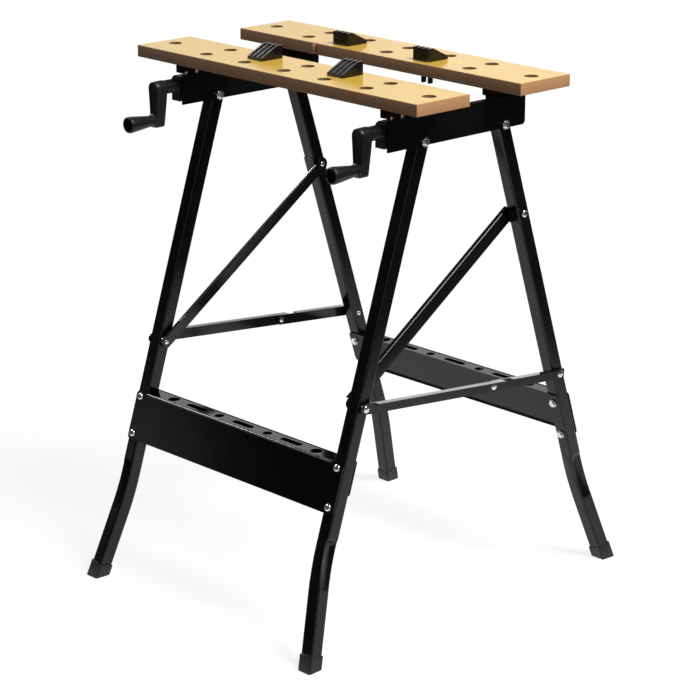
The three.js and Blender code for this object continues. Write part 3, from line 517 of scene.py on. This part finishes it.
def leg_stations(end_down):
    """Centre line of a leg as (offset outwards, distance down, lean), finer through the bend."""
    radius = BEND_LENGTH / BEND_ANGLE
    stations = [(0, -LEG_ABOVE_PIVOT, 0)]
    stations += [(0, s, 0) for s in STATIONS_ABOVE_BEND]
    for i in range(BEND_STEPS + 1):
        lean = BEND_ANGLE * i / BEND_STEPS
        stations.append((radius * (1 - math.cos(lean)), BEND_START + radius * math.sin(lean), lean))
    out, down, _ = stations[-1]
    for s in (*STATIONS_BELOW_BEND, end_down):
        stations.append((out + (s - down) * math.tan(BEND_ANGLE), s, BEND_ANGLE))
    return stations


def crushed(px, py, down):
    """Section point at the bend, where the side that the leg leans to is pushed in, corners and all."""
    first, last = DENT
    into = min(1.0, max(0.0, (down - first) / DENT_STEP))
    fading = min(1.0, max(0.0, (last - down) / (last - first - DENT_STEP)))
    press = into * into * (3 - 2 * into) * fading
    lean_side = max(0.0, px / LEG_HALF)
    across = max(0.0, 1 - (py / LEG_HALF) ** 2)
    px -= press * (DENT_CORNERS + DENT_MIDDLE * across) * lean_side ** 3
    flank = max(0.0, 1 - ((px / LEG_HALF) - 0.25) ** 2 / 0.6)
    py += math.copysign(DENT_BULGE * press * flank, py) if abs(py) > 0.6 * LEG_HALF else 0
    return px, py


def add_leg(end, side, sign, body, mat):
    place = frame_matrix(end)
    s = local_sign(end, sign)
    section = rounded_square(LEG_HALF, LEG_CORNER, 5, 10)
    bore = rounded_square(LEG_HALF - LEG_WALL, LEG_CORNER - LEG_WALL, 5, 10)

    def ring(points, station, crush):
        out, down, lean = station
        made = []
        for px, py in points:
            if crush:
                px, py = crushed(px, py, down)
            at = Vector((LEG_X + out + px * math.cos(lean), py, -down + px * math.sin(lean)))
            made.append(place @ Vector((s * at.x, at.y, at.z)))
        return made

    stations = leg_stations(LEG_LINE - FOOT_SOLE - 0.4)
    rings = [ring(bore, (0, LEG_PLUG, 0), False), ring(bore, stations[0], False)]
    rings += [ring(section, station, True) for station in stations]
    bm = bmesh.new()
    add_rings(bm, rings)
    add_piece(f"leg_{end}_{side}_tube", bm, body, mat, [f"leg_{end}_{side}"])


def add_foot(end, side, sign, body, mat):
    """Cap over the end of a leg, with a ring of notches round its sole."""
    place = frame_matrix(end)
    s = local_sign(end, sign)
    out, down, _ = leg_stations(LEG_LINE)[-2 - len(STATIONS_BELOW_BEND)]
    lean = Vector((s * math.sin(BEND_ANGLE), 0, -math.cos(BEND_ANGLE)))
    base = Vector((s * (LEG_X + out), 0, -down))
    along = (LEG_LINE - FOOT_HIGH - down) / math.cos(BEND_ANGLE)
    sideways = Vector((s * math.cos(BEND_ANGLE), 0, math.sin(BEND_ANGLE)))
    slide = place.to_3x3() @ lean
    outer = rounded_square(FOOT_HALF, FOOT_CORNER, 6, 12)
    inner = rounded_square(LEG_HALF + 0.15, LEG_CORNER, 6, 12)
    plain = [1.0] * len(outer)
    notched = [FOOT_NOTCH if i % 4 in (1, 2) else 1.0 for i in range(len(outer))]

    def at(px, py, step):
        return place @ (base + lean * (along + step) + sideways * px + Vector((0, py, 0)))

    def to_floor(size, shape, above):
        """Outline slid down the leg's line to a height above the floor."""
        made = []
        for (px, py), n in zip(outer, shape):
            point = at(px * n * size, py * n * size, FOOT_SHOULDER)
            made.append(point + slide * ((above - point.z) / slide.z))
        return made

    rings = [[at(px, py, step) for px, py in inner] for step in (3, 0.4)]
    for size, step in ((0.93, 0), (0.985, 0.5), (1, FOOT_SHOULDER)):
        rings.append([at(px * size, py * size, step) for px, py in outer])
    rings.append(to_floor(1, plain, 6.0))
    rings += [to_floor(size, notched, above) for size, above in ((1, 4.8), (1, 0.8), (0.96, 0.0))]
    bm = bmesh.new()
    add_rings(bm, rings)
    add_piece(f"foot_{end}_{side}_cap", bm, body, mat, [f"foot_{end}_{side}"])


# Cranks and screws


def crank_outline(grow):
    """Arm outline round the screw axis, as (x, z) from that axis."""
    points = []
    for i in range(17):
        t = math.pi * i / 16
        points.append(((CRANK_HUB_R + grow) * math.cos(t), (CRANK_HUB_R + grow) * math.sin(t)))
    waist_half, waist = CRANK_WAIST_HALF + grow, -CRANK_THROW * CRANK_WAIST
    points.append((-waist_half, waist))
    for side in (-1, 1):
        cx = side * (CRANK_TIP_HALF - CRANK_TIP_CORNER)
        cz = -CRANK_THROW - CRANK_TIP_LOW + CRANK_TIP_CORNER
        for i in range(9):
            t = math.pi * (1.25 + 0.25 * side + i / 16)
            r = CRANK_TIP_CORNER + grow
            points.append((cx + r * math.cos(t), cz + r * math.sin(t)))
    points.append((waist_half, waist))
    return points


def add_crank(side, sign, body, mat):
    x0 = sign * LEG_X

    def depth(z):
        t = min(1.0, max(0.0, (-z - CRANK_HUB_R) / (CRANK_THROW - CRANK_HUB_R)))
        return CRANK_DEEP - (CRANK_DEEP - CRANK_TIP_DEEP) * t

    def ring(grow, from_face, at_back):
        made = []
        for x, z in crank_outline(grow):
            y = CRANK_FRONT + (depth(z) - from_face if at_back else from_face)
            made.append((x0 + x, y, SCREW_Z + z))
        return made

    bm = bmesh.new()
    rings = [ring(grow, from_face, False) for grow, from_face in CRANK_FRONT_RINGS]
    rings += [ring(grow, from_face, True) for grow, from_face in CRANK_BACK_RINGS]
    add_rings(bm, rings)
    hub = axis_matrix((x0, 0, SCREW_Z), (0, 1, 0))
    back = CRANK_FRONT + CRANK_DEEP
    neck = [(0, back - 1), (HUB_NECK_R, back - 1), (HUB_NECK_R, back + 1.2), (HUB_R, back + 1.8)]
    add_turned(bm, neck, hub, 36)
    ribs = []
    for y in (back + 1.8, HUB_BACK - HUB_COLLAR):
        ring_points = []
        for i in range(72):
            t = 2 * math.pi * i / 72
            r = HUB_R if i % 6 < 3 else HUB_R - HUB_RIB
            ring_points.append((x0 + r * math.cos(t), y, SCREW_Z + r * math.sin(t)))
        ribs.append(ring_points)
    add_rings(bm, ribs)
    collar = [(HUB_R - 0.4, HUB_BACK - HUB_COLLAR), (HUB_R, HUB_BACK - 2.4), (HUB_R, HUB_BACK - 0.4)]
    collar += [(HUB_R - 0.4, HUB_BACK), (HUB_BORE_R, HUB_BACK), (HUB_BORE_R, HUB_BACK - HUB_COLLAR)]
    add_turned(bm, collar, hub, 36)
    pin = axis_matrix((x0, 0, SCREW_Z - CRANK_THROW), (0, -1, 0))
    add_turned(bm, [(CRANK_PIN_R, CRANK_PIN_END)] + dome(CRANK_PIN_R, 1.6, CRANK_PIN_END + 0.2), pin, 24)
    add_piece(f"crank_{side}_arm", bm, body, mat, [f"crank_{side}"], 32)


def add_grip(side, sign, mat):
    place = axis_matrix((sign * LEG_X, 0, SCREW_Z - CRANK_THROW), (0, 1, 0))
    profile = [(r, GRIP_BACK - step) for r, step in GRIP_FROM_BACK]
    profile += [(r, GRIP_END + step) for r, step in GRIP_FROM_END]
    bm = bmesh.new()
    add_turned(bm, profile, place, 44)
    name = f"grip_{side}"
    add_piece(name + "_handle", bm, "body_" + name, mat, [name])


def add_screw(side, sign, body, mat):
    """Screw with a helical thread between its collar and its end stop."""
    x0 = sign * LEG_X
    place = axis_matrix((x0, 0, SCREW_Z), (0, 1, 0))
    bm = bmesh.new()
    start, stop = SCREW_THREAD
    front = [(0, -194.7), (4.6, -194.7), (5, -194.2), (5, -129.7), (8.6, -129.7), (9, -129.2)]
    add_turned(bm, front + [(9, -126.2), (8.6, start), (SCREW_ROOT, start)], place, 28)
    segments = 16
    slices = 6
    count = int((stop - start) / SCREW_LEAD * slices)
    rings = []
    for k in range(count + 1):
        y = start + (stop - start) * k / count
        ring = []
        for i in range(segments):
            turn = 2 * math.pi * i / segments
            phase = ((y - start) / SCREW_LEAD - i / segments) % 1.0
            wave = min(1.0, max(0.0, 2.2 * abs(2 * phase - 1) - 0.6))
            r = SCREW_ROOT + (SCREW_R - SCREW_ROOT) * wave
            ring.append((x0 + r * math.sin(turn), y, SCREW_Z + r * math.cos(turn)))
        rings.append(ring)
    add_rings(bm, rings, False, False)
    end_stop = [(SCREW_ROOT, stop), (7.1, stop), (7.5, stop + 0.4), (7.5, stop + 3.4)]
    add_turned(bm, end_stop + [(6.9, stop + 4), (0, stop + 4)], place, 28)
    add_piece(f"vise_screw_{side}_thread", bm, body, mat, [f"vise_screw_{side}"])


# Pegs


def add_peg_hatch(jaw, side, sign, mat):
    """Rows of small pyramids on the gripping face of a peg."""
    y = FRONT_JAW_Y + DOG_ROW if jaw == "front" else REAR_JAW_Y - DOG_ROW
    turn = 0 if jaw == "front" else math.pi
    place = Matrix.Translation((sign * DOG_PITCH, y, BOARD_TOP)) @ Matrix.Rotation(turn, 4, "Z")
    bm = bmesh.new()
    half = HATCH_HALF
    for row in range(HATCH_ROWS):
        z = HATCH_LOW + row * HATCH_PITCH / 2
        shift = HATCH_PITCH / 2 if row % 2 else 0
        for col in range(-4, 5):
            x = col * HATCH_PITCH + shift
            if abs(x) > HATCH_REACH:
                continue
            tip = bm.verts.new(place @ Vector((x, PEG_GRIP + HATCH_HIGH, z)))
            rim = [(x + half, z), (x, z + half), (x - half, z), (x, z - half)]
            base = [bm.verts.new(place @ Vector((px, PEG_GRIP - 0.1, pz))) for px, pz in rim]
            for i in range(4):
                bm.faces.new((tip, base[i], base[(i + 1) % 4]))
            bm.faces.new(base)
    name = f"peg_{jaw}_{side}"
    add_piece(name + "_hatch", bm, "body_" + name, mat, (), 10)


# Fasteners


def add_hex(bm, matrix, across, low, high):
    """Hexagon nut with eased corners, standing along local Z."""
    corner = across / math.sqrt(3)
    rings = []
    for r, z in ((corner * 0.9, low), (corner, low + 0.5), (corner, high - 0.5), (corner * 0.9, high)):
        turns = [math.pi / 3 * i for i in range(6)]
        rings.append([matrix @ Vector((r * math.cos(t), r * math.sin(t), z)) for t in turns])
    add_rings(bm, rings)


def add_panel_bolt(end, side, sign, row, down, body, mat):
    """Bolt through panel and leg; the upper ones also hold the panel's inner sheet."""
    place = frame_matrix(end) @ axis_matrix((local_sign(end, sign) * LEG_X, 0, -down), (0, -1, 0))
    seat = -FIT - (PANEL_FACE if row == "upper" else LEG_HALF)
    bm = bmesh.new()
    under = PANEL_FACE + 0.1
    head = drive_head(PANEL_BOLT_HEAD_R, 3.6, PANEL_FACE + FIT, cross(2.6), 2.2)
    shank = [(PANEL_BOLT_R, 0), (PANEL_BOLT_R, under), (PANEL_BOLT_HEAD_R, under)]
    add_turned(bm, shank + head, place, 32)
    add_turned(bm, [(3.2, seat), (6.2, seat), (6.2, seat - 0.8), (3.2, seat - 0.8)], place)
    add_hex(bm, place, 9.6, seat - 4.1, seat - 0.7)
    add_turned(bm, [(2.9, seat - 4.0), (2.9, seat - 4.3), (2.3, seat - 4.5), (0, seat - 4.5)], place, 18)
    node = f"panel_bolt_{end}_{side}_{row}"
    add_piece(node + "_head", bm, body, mat, [node])


def add_pivot_bolt(end, side, sign, mat):
    """Bolt that a leg turns on, with a washer on the rail and a nut on the inside."""
    y = -PIVOT_Y if end == "front" else PIVOT_Y
    place = axis_matrix((sign * LEG_X, y, PIVOT_Z), (1, 0, 0))
    bm = bmesh.new()
    web, inner = RAIL_WEB[1], -LEG_HALF
    shank, top = PIVOT_BOLT_R, web + 0.9
    washer = [(shank, inner), (shank, web + 0.1), (6.9, web + 0.1), (7, web + 0.3), (7, web + 0.7)]
    washer += [(6.8, top), (PIVOT_BOLT_HEAD_R, top)]
    add_turned(bm, washer + drive_head(PIVOT_BOLT_HEAD_R, 3.2, top, cross(2.9), 1.8), place, 32)
    near, far = inner - 0.3, inner - 1.1
    add_turned(bm, [(shank, near), (7, near), (7, far), (shank, far)], place)
    add_hex(bm, place, 11.2, inner - 4.0, inner - 1.0)
    add_turned(bm, [(3.4, inner - 3.9), (3.4, inner - 4.2), (0, inner - 4.3)], place, 18)
    node = f"pivot_bolt_{end}_{side}"
    add_piece(node + "_head", bm, "top_frame", mat, [node])


def add_rivets(side, sign, mat):
    """Rivets of strut and stay; the far heads of the pivots on the rear leg stay with that leg."""
    ay, az = point_on_leg("front", STAY_FRONT)
    by, bz = point_on_leg("rear", STRUT_TOP)
    dy, dz = point_on_leg("rear", STAY_REAR)
    my, mz = ay + (dy - ay) * STAY_SPLIT, az + (dz - az) * STAY_SPLIT

    def at(y, z):
        return axis_matrix((sign * LEG_X, y, z), (sign, 0, 0))

    def tail(face):
        """Formed inner end of a rivet, standing inwards from a face, and the pin behind it."""
        return [(r, -h) for r, h in reversed(dome(RIVET_TAIL_R, RIVET_TAIL, -face))] + [(RIVET_R, face)]

    def collar(near, far):
        return [(RIVET_R, near), (RIVET_HEAD_R, near), (RIVET_HEAD_R, far), (RIVET_R, far)]

    def head(face):
        return [(RIVET_R, face)] + dome(RIVET_HEAD_R, RIVET_HEAD, face)

    strut_face = -STRUT_WEB - STRUT_SHEET - FIT
    strut_collar = collar(-STRUT_WEB + FIT, -LEG_HALF - FIT)
    bm = bmesh.new()
    stay_collar = collar(LEG_HALF + FIT, FRONT_LINK - FIT)
    stay_outer = FRONT_LINK + STAY_SHEET + FIT
    add_turned(bm, tail(strut_face) + strut_collar + stay_collar + head(stay_outer), at(ay, az))
    node = f"rivet_front_{side}"
    add_piece(node + "_heads", bm, "front_leg_frame", mat, [node])

    bm = bmesh.new()
    add_turned(bm, tail(strut_face) + collar(-STRUT_WEB + FIT, -SADDLE_SIDE - FIT), at(by, bz))
    node = f"rivet_strut_{side}"
    add_piece(node + "_head", bm, "body_strut_" + side, mat, [node])

    bm = bmesh.new()
    seat = REAR_LINK - FIT
    flush = [(0, seat - 0.9), (3.4, seat - 0.85), (RIVET_TAIL_R, seat - 0.55), (RIVET_TAIL_R, seat)]
    flush.append((RIVET_R, seat))
    add_turned(bm, flush + head(stay_outer), at(my, mz))
    node = f"rivet_stay_middle_{side}"
    add_piece(node + "_head", bm, "stay_front_link_" + side, mat, [node])

    bm = bmesh.new()
    add_turned(bm, flush + head(REAR_LINK + STAY_SHEET + FIT), at(dy, dz))
    node = f"rivet_stay_rear_{side}"
    add_piece(node + "_head", bm, "stay_rear_link_" + side, mat, [node])

    bm = bmesh.new()
    root = [(RIVET_R, LEG_HALF - 1)]
    add_turned(bm, root + dome(RIVET_HEAD_R, RIVET_HEAD, SADDLE_SIDE), at(by, bz))
    inner = axis_matrix((sign * LEG_X, dy, dz), (-sign, 0, 0))
    add_turned(bm, root + dome(RIVET_TAIL_R, RIVET_TAIL, LEG_HALF + 0.05), inner)
    add_piece(f"rear_leg_heads_{side}", bm, "rear_leg_frame", mat)


def add_strut(side, sign, mat):
    """Strut of folded sheet: a web with tongues at both ends and a flange along the top."""
    start = Vector(point_on_leg("front", STAY_FRONT))
    stop = Vector(point_on_leg("rear", STRUT_TOP))
    long = (stop - start).length
    along = (stop - start) / long
    fold = STRUT_HALF - STRUT_FOLD

    def ring(step, half, flange):
        """Section at a distance along the strut; without its flange it is the web alone."""
        web = -STRUT_WEB
        section = [(web, -half)]
        if flange:
            middle = web - STRUT_FOLD
            small = STRUT_FOLD - STRUT_SHEET
            bends = [[(middle + r * math.cos(t), fold + r * math.sin(t)) for t in QUARTER]
                     for r in (STRUT_FOLD, small)]
            section += bends[0]
            section += [(web - STRUT_FLANGE, half), (web - STRUT_FLANGE, half - STRUT_SHEET)]
            section += reversed(bends[1])
        else:
            section += [(web, half)] * (len(QUARTER) + 1)
            section += [(web - STRUT_SHEET, half)] * (len(QUARTER) + 1)
        section.append((web - STRUT_SHEET, -half))
        made = []
        for x, up in section:
            y, z = start + along * step + Vector((-along.y, along.x)) * up
            made.append((sign * (LEG_X + x), y, z))
        return made

    def tongue(tip, radius, direction):
        """Rounded end of the web, from its tip towards the middle."""
        made = []
        for t in reversed(QUARTER):
            step = tip + direction * radius * (1 - math.sin(t))
            made.append(ring(step, STRUT_HALF - radius * (1 - math.cos(t)), False))
        return made

    rings = tongue(-STRUT_TAIL, 8.0, 1) + [ring(2.6, STRUT_HALF, False)]
    rings += [ring(step, STRUT_HALF, True) for step in (3.0, long / 2, long - 3.0)]
    rings += [ring(long - 2.6, STRUT_HALF, False)]
    rings += list(reversed(tongue(long + STRUT_HALF, 9.5, -1)))
    bm = bmesh.new()
    add_rings(bm, rings)
    bmesh.ops.remove_doubles(bm, verts=bm.verts, dist=0.001)
    node = f"strut_{side}"
    obj = add_piece(node + "_sheet", bm, "body_strut_" + side, mat, [node])
    ease(obj, 0.35)


def add_panel_fold(end, body, mat):
    """Rolled top edge of a panel's outer sheet."""
    place = frame_matrix(end)
    half = LEG_X - LEG_HALF - 1.5
    r, small = PANEL_FOLD, 0.85 * PANEL_FOLD
    n, z = -PANEL_FACE + r - 0.5, -PANEL_TOP - r + 0.5
    start, stop = (place @ Vector((x, n, z)) for x in (-half, half))
    long = (stop - start).length
    profile = [(0, 0), (small, 0), (r, 0.4), (r, long / 2), (r, long - 0.4), (small, long), (0, long)]
    bm = bmesh.new()
    add_turned(bm, profile, axis_matrix(start, stop - start), 32)
    add_piece(f"tool_panel_{end}_fold", bm, body, mat)


def add_panel_shade_sheet(end, body, mat):
    """Thin matt black sheet on the inside of a panel's outer sheet, between the legs: painted shade for
    the dark inside of the panel's channel.
    """
    place = frame_matrix(end)
    half = LEG_X - LEG_HALF - 0.5
    low, high = PANEL_INSIDE
    corners = [(-half, -low), (half, -low), (half, -high), (-half, -high)]
    faces = (-LEG_HALF - 0.35, -LEG_HALF - 0.15)
    rings = [[place @ Vector((x, n, z)) for x, z in corners] for n in faces]
    bm = bmesh.new()
    add_rings(bm, rings)
    add_piece(f"tool_panel_{end}_painted_shade", bm, body, mat)


def add_saddle(side, sign, mat):
    """Clip bent round the rear leg where the strut is riveted: over the front face and both sides."""
    place = frame_matrix("rear")
    s = local_sign("rear", sign)
    middle = LEG_HALF - SADDLE_BEND

    def clip(radius):
        """The clip's line, from the end of one side over the front face to the end of the other."""
        half = [(middle + radius * math.sin(t), middle + radius * math.cos(t)) for t in QUARTER]
        half.append((middle + radius, -SADDLE_ARM))
        return [(-x, n) for x, n in reversed(half)] + half

    inner, outer = (clip(radius) for radius in SADDLE_RADII)
    section = inner + list(reversed(outer))
    rings = []
    for down in (STRUT_TOP - SADDLE_HALF, STRUT_TOP + SADDLE_HALF):
        rings.append([place @ Vector((s * (LEG_X + x), n, -down)) for x, n in section])
    bm = bmesh.new()
    add_rings(bm, rings)
    obj = add_piece(f"strut_saddle_{side}", bm, "rear_leg_frame", mat)
    ease(obj, 0.35)


def add_rail_marks(side, sign, mat):
    """Small formed dimples beside the leg bolts on the rail's outer face."""
    bm = bmesh.new()
    for y in (-PIVOT_Y, PIVOT_Y):
        place = axis_matrix((sign * LEG_X + RAIL_WEB[1], y - 10, PIVOT_Z + 6), (1, 0, 0))
        add_turned(bm, [(2.6, -0.3), (2.5, 0.1), (1.9, 0.5), (1.0, 0.75), (0, 0.8)], place, 18)
    add_piece(f"rail_{side}_dimples", bm, "top_frame", mat)


def add_flange_screws(side, sign, mat):
    """Screws standing on the rail's flange beside the fixed bracket."""
    bm = bmesh.new()
    for across, y, radius, height in FLANGE_SCREWS:
        place = axis_matrix((sign * LEG_X + across, y, RAIL_TOP), (0, 0, 1))
        head = drive_head(radius, height, 0.05, cross(0.5 * radius), 0.35 * height)
        add_turned(bm, [(0, 0.0), (radius, 0.0)] + head, place, 32)
    add_piece(f"rail_{side}_screws", bm, "top_frame", mat)


# Finishing of the frame's own pieces


def ease(obj, width):
    """Rounds the sharp edges a little, as folded sheet and moulded pieces have them."""
    bevel = obj.modifiers.new("ease", "BEVEL")
    bevel.width = width * MM
    bevel.segments = 2
    bevel.limit_method = "ANGLE"
    bevel.angle_limit = math.radians(35)
    bevel.use_clamp_overlap = True
    bevel.harden_normals = False


def dress(nodes, prefix, mat, width):
    """Gives the frame's own pieces of that name a finish and eased edges."""
    for name, obj in nodes.items():
        if not name.startswith(prefix):
            continue
        if obj.material_slots:
            obj.material_slots[0].material = mat
        else:
            obj.data.materials.append(mat)
        ease(obj, width)


# Stage


def math_node(nodes, links, operation, *values):
    """Result of an operation on sockets and plain numbers."""
    node = nodes.new("ShaderNodeMath")
    node.operation = operation
    for socket, value in zip(node.inputs, values):
        if isinstance(value, float):
            socket.default_value = value
        else:
            links.new(value, socket)
    return node.outputs[0]


def seen_by_mirrors(nodes, links, path):
    """1 for rays that come from a reflection or through glass."""
    mirror, glass = path.outputs["Is Glossy Ray"], path.outputs["Is Transmission Ray"]
    return math_node(nodes, links, "MAXIMUM", mirror, glass)


def fade(nodes, links, value, start, stop, low, high):
    """Smooth step of a value from low, at start, to high, at stop."""
    node = nodes.new("ShaderNodeMapRange")
    node.interpolation_type = "SMOOTHSTEP"
    for name, number in zip(("From Min", "From Max", "To Min", "To Max"), (start, stop, low, high)):
        node.inputs[name].default_value = number
    links.new(value, node.inputs["Value"])
    return node.outputs["Result"]


def add_floor():
    """Pale floor: white to the camera, white near the bench in reflections, and it takes the shadow."""
    mesh = bpy.data.meshes.new("floor")
    bm = bmesh.new()
    bmesh.ops.create_circle(bm, cap_ends=True, radius=FLOOR_RADIUS, segments=96)
    bm.to_mesh(mesh)
    bm.free()
    mat = bpy.data.materials.new("floor_white")
    mat.use_nodes = True
    nodes, links = mat.node_tree.nodes, mat.node_tree.links
    nodes.clear()
    path = nodes.new("ShaderNodeLightPath")
    coords = nodes.new("ShaderNodeTexCoord")
    length = nodes.new("ShaderNodeVectorMath")
    length.operation = "LENGTH"
    links.new(coords.outputs["Object"], length.inputs[0])
    away = length.outputs["Value"]
    camera = math_node(nodes, links, "MULTIPLY", path.outputs["Is Camera Ray"],
                       fade(nodes, links, away, 0.7, 2.4, FLOOR_NEAR, 1.0))
    mirror = math_node(nodes, links, "MULTIPLY", seen_by_mirrors(nodes, links, path),
                       fade(nodes, links, away, 0.9, 1.7, FLOOR_MIRROR, 0.0))
    glow = nodes.new("ShaderNodeEmission")
    links.new(math_node(nodes, links, "ADD", camera, mirror), glow.inputs["Strength"])
    matt = nodes.new("ShaderNodeBsdfDiffuse")
    links.new(fade(nodes, links, away, 0.9, 2.0, FLOOR_TONE, FLOOR_FAR), matt.inputs["Color"])
    both = nodes.new("ShaderNodeAddShader")
    links.new(glow.outputs[0], both.inputs[0])
    links.new(matt.outputs[0], both.inputs[1])
    out = nodes.new("ShaderNodeOutputMaterial")
    links.new(both.outputs[0], out.inputs["Surface"])
    mesh.materials.append(mat)
    floor = bpy.data.objects.new("floor", mesh)
    bpy.context.scene.collection.objects.link(floor)
    floor.location.z = -FLOOR_DROP


def add_lamp(name, direction, distance, size, level, glint):
    """Soft lamp of given width and height; a face turned to it at level 1 shows its colour as written.

    A glint only shows as a highlight on glossy paint."""
    light = bpy.data.lights.new(name, "AREA")
    light.shape = "RECTANGLE"
    light.size, light.size_y = size
    light.energy = level * (math.pi * distance) ** 2
    lamp = bpy.data.objects.new(name, light)
    target = Vector(LAMP_TARGET)
    lamp.location = target + Vector(direction).normalized() * distance
    lamp.rotation_euler = (target - lamp.location).to_track_quat("-Z", "Y").to_euler()
    lamp.visible_camera = False
    lamp.visible_diffuse = not glint
    bpy.context.scene.collection.objects.link(lamp)


def patch(nodes, links, coords, direction, edge, level):
    """Bright part of the surroundings about a direction; its edge is given as two cosines."""
    facing = nodes.new("ShaderNodeVectorMath")
    facing.operation = "DOT_PRODUCT"
    facing.inputs[1].default_value = Vector(direction).normalized()
    links.new(coords.outputs["Generated"], facing.inputs[0])
    return fade(nodes, links, facing.outputs["Value"], *edge, 0.0, level)


def add_world():
    """White round the bench to the camera, dim as light; reflections see white behind the bench,
    a pale card on the camera's side and a small glow to the left."""
    world = bpy.data.worlds.new("studio")
    bpy.context.scene.world = world
    world.use_nodes = True
    nodes, links = world.node_tree.nodes, world.node_tree.links
    nodes.clear()
    path = nodes.new("ShaderNodeLightPath")
    coords = nodes.new("ShaderNodeTexCoord")
    back = (-math.sin(CAMERA_AZIMUTH), math.cos(CAMERA_AZIMUTH), 0)
    behind = patch(nodes, links, coords, back, BEHIND_EDGE, 1.0 - MIRROR_LEVEL)
    card = patch(nodes, links, coords, [-c for c in back], CARD_EDGE, CARD_LEVEL)
    glow = patch(nodes, links, coords, GLOW_DIRECTION, GLOW_EDGE, GLOW_LEVEL)
    patches = math_node(nodes, links, "ADD", behind, math_node(nodes, links, "ADD", card, glow))
    bright = math_node(nodes, links, "ADD", patches, MIRROR_LEVEL)
    mirror = seen_by_mirrors(nodes, links, path)
    plain = math_node(nodes, links, "SUBTRACT", bright, WORLD_LEVEL)
    lit = math_node(nodes, links, "MULTIPLY_ADD", mirror, plain, WORLD_LEVEL)
    seen = math_node(nodes, links, "MAXIMUM", path.outputs["Is Camera Ray"], lit)
    sky = nodes.new("ShaderNodeBackground")
    sky.inputs["Color"].default_value = (1, 1, 1, 1)
    links.new(seen, sky.inputs["Strength"])
    out = nodes.new("ShaderNodeOutputWorld")
    links.new(sky.outputs[0], out.inputs["Surface"])


def add_camera():
    back = Vector((
        math.sin(CAMERA_AZIMUTH) * math.cos(CAMERA_ELEVATION),
        -math.cos(CAMERA_AZIMUTH) * math.cos(CAMERA_ELEVATION),
        math.sin(CAMERA_ELEVATION),
    ))
    data = bpy.data.cameras.new("camera")
    data.sensor_fit = "HORIZONTAL"
    data.sensor_width = SENSOR
    data.lens = SENSOR * FOCAL_PER_WIDTH
    data.clip_end = 50
    camera = bpy.data.objects.new("camera", data)
    camera.location = CAMERA_PLACE
    camera.rotation_euler = (-back).to_track_quat("-Z", "Y").to_euler()
    bpy.context.scene.collection.objects.link(camera)
    bpy.context.scene.camera = camera


def build(nodes):
    paint = make_black("black_paint", 0.0022, 0.004, (0.1, 0.16), 0.35, 700, 0.012)
    panel = make_black("panel_paint", 0.002, 0.0035, (0.07, 0.1), 0.32, 800, 0.006)
    sheet = make_black("sheet_paint", 0.004, 0.0065, (0.1, 0.16), 0.45, 800, 0.008)
    # Matt near-black for the sheet inside each panel: painted shade, not a finish the bench has
    shade_black = make_black("shade_black", 0.002, 0.0035, (0.7, 0.85), 0.1, 600, 0.1)
    plastic = make_black("black_plastic", 0.008, 0.013, (0.32, 0.44), 0.4, 1800, 0.22)
    gloss = make_black("gloss_black_plastic", 0.005, 0.008, (0.17, 0.23), 0.5, 1400, 0.015)
    zinc = make_zinc()
    steel = make_screw_steel()
    face = make_laminate()
    edge = make_fibre("board_edge", 1.0)
    # The same fibreboard at a third of its tone for the walls of the dog holes: painted shade inside the
    # holes
    hole_shade = make_fibre("hole_wall_shade", 0.35)

    dress(nodes, "rail_", paint, 0.6)
    dress(nodes, "front_bracket_", paint, 0.8)
    dress(nodes, "rear_bracket_", paint, 0.8)
    dress(nodes, "bearing_block_", plastic, 1.2)
    dress(nodes, "vise_nut_", paint, 0.8)
    dress(nodes, "tool_panel_", panel, 0.7)
    dress(nodes, "stay_", sheet, 0.8)
    dress(nodes, "peg_", gloss, 1.0)

    add_board("front_jaw", FRONT_JAW_Y, 0, "top_frame", face, edge, hole_shade)
    add_board("rear_jaw", REAR_JAW_Y, PIPE_GROOVE_X, "sliding_jaw", face, edge, hole_shade)
    for end in ("front", "rear"):
        # Painted shade: a dark sheet inside each panel's outer sheet
        add_panel_shade_sheet(end, end + "_leg_frame", shade_black)
        add_panel_fold(end, end + "_leg_frame", sheet)
    for side, sign in SIDES:
        for end in ("front", "rear"):
            body = end + "_leg_frame"
            add_leg(end, side, sign, body, paint)
            add_foot(end, side, sign, body, plastic)
            for row, down in zip(("upper", "lower"), PANEL_BOLTS):
                add_panel_bolt(end, side, sign, row, down, body, zinc)
            add_pivot_bolt(end, side, sign, zinc)
        for jaw in ("front", "rear"):
            add_peg_hatch(jaw, side, sign, gloss)
        add_rivets(side, sign, zinc)
        add_strut(side, sign, sheet)
        add_saddle(side, sign, paint)
        add_crank(side, sign, "crank_screw_" + side, plastic)
        add_grip(side, sign, plastic)
        add_screw(side, sign, "crank_screw_" + side, steel)
        add_rail_marks(side, sign, paint)
        add_flange_screws(side, sign, zinc)


bpy.context.scene.view_settings.view_transform = "Standard"
build(frame["nodes"])
add_floor()
add_world()
for lamp in LAMPS:
    add_lamp(*lamp)
add_camera()
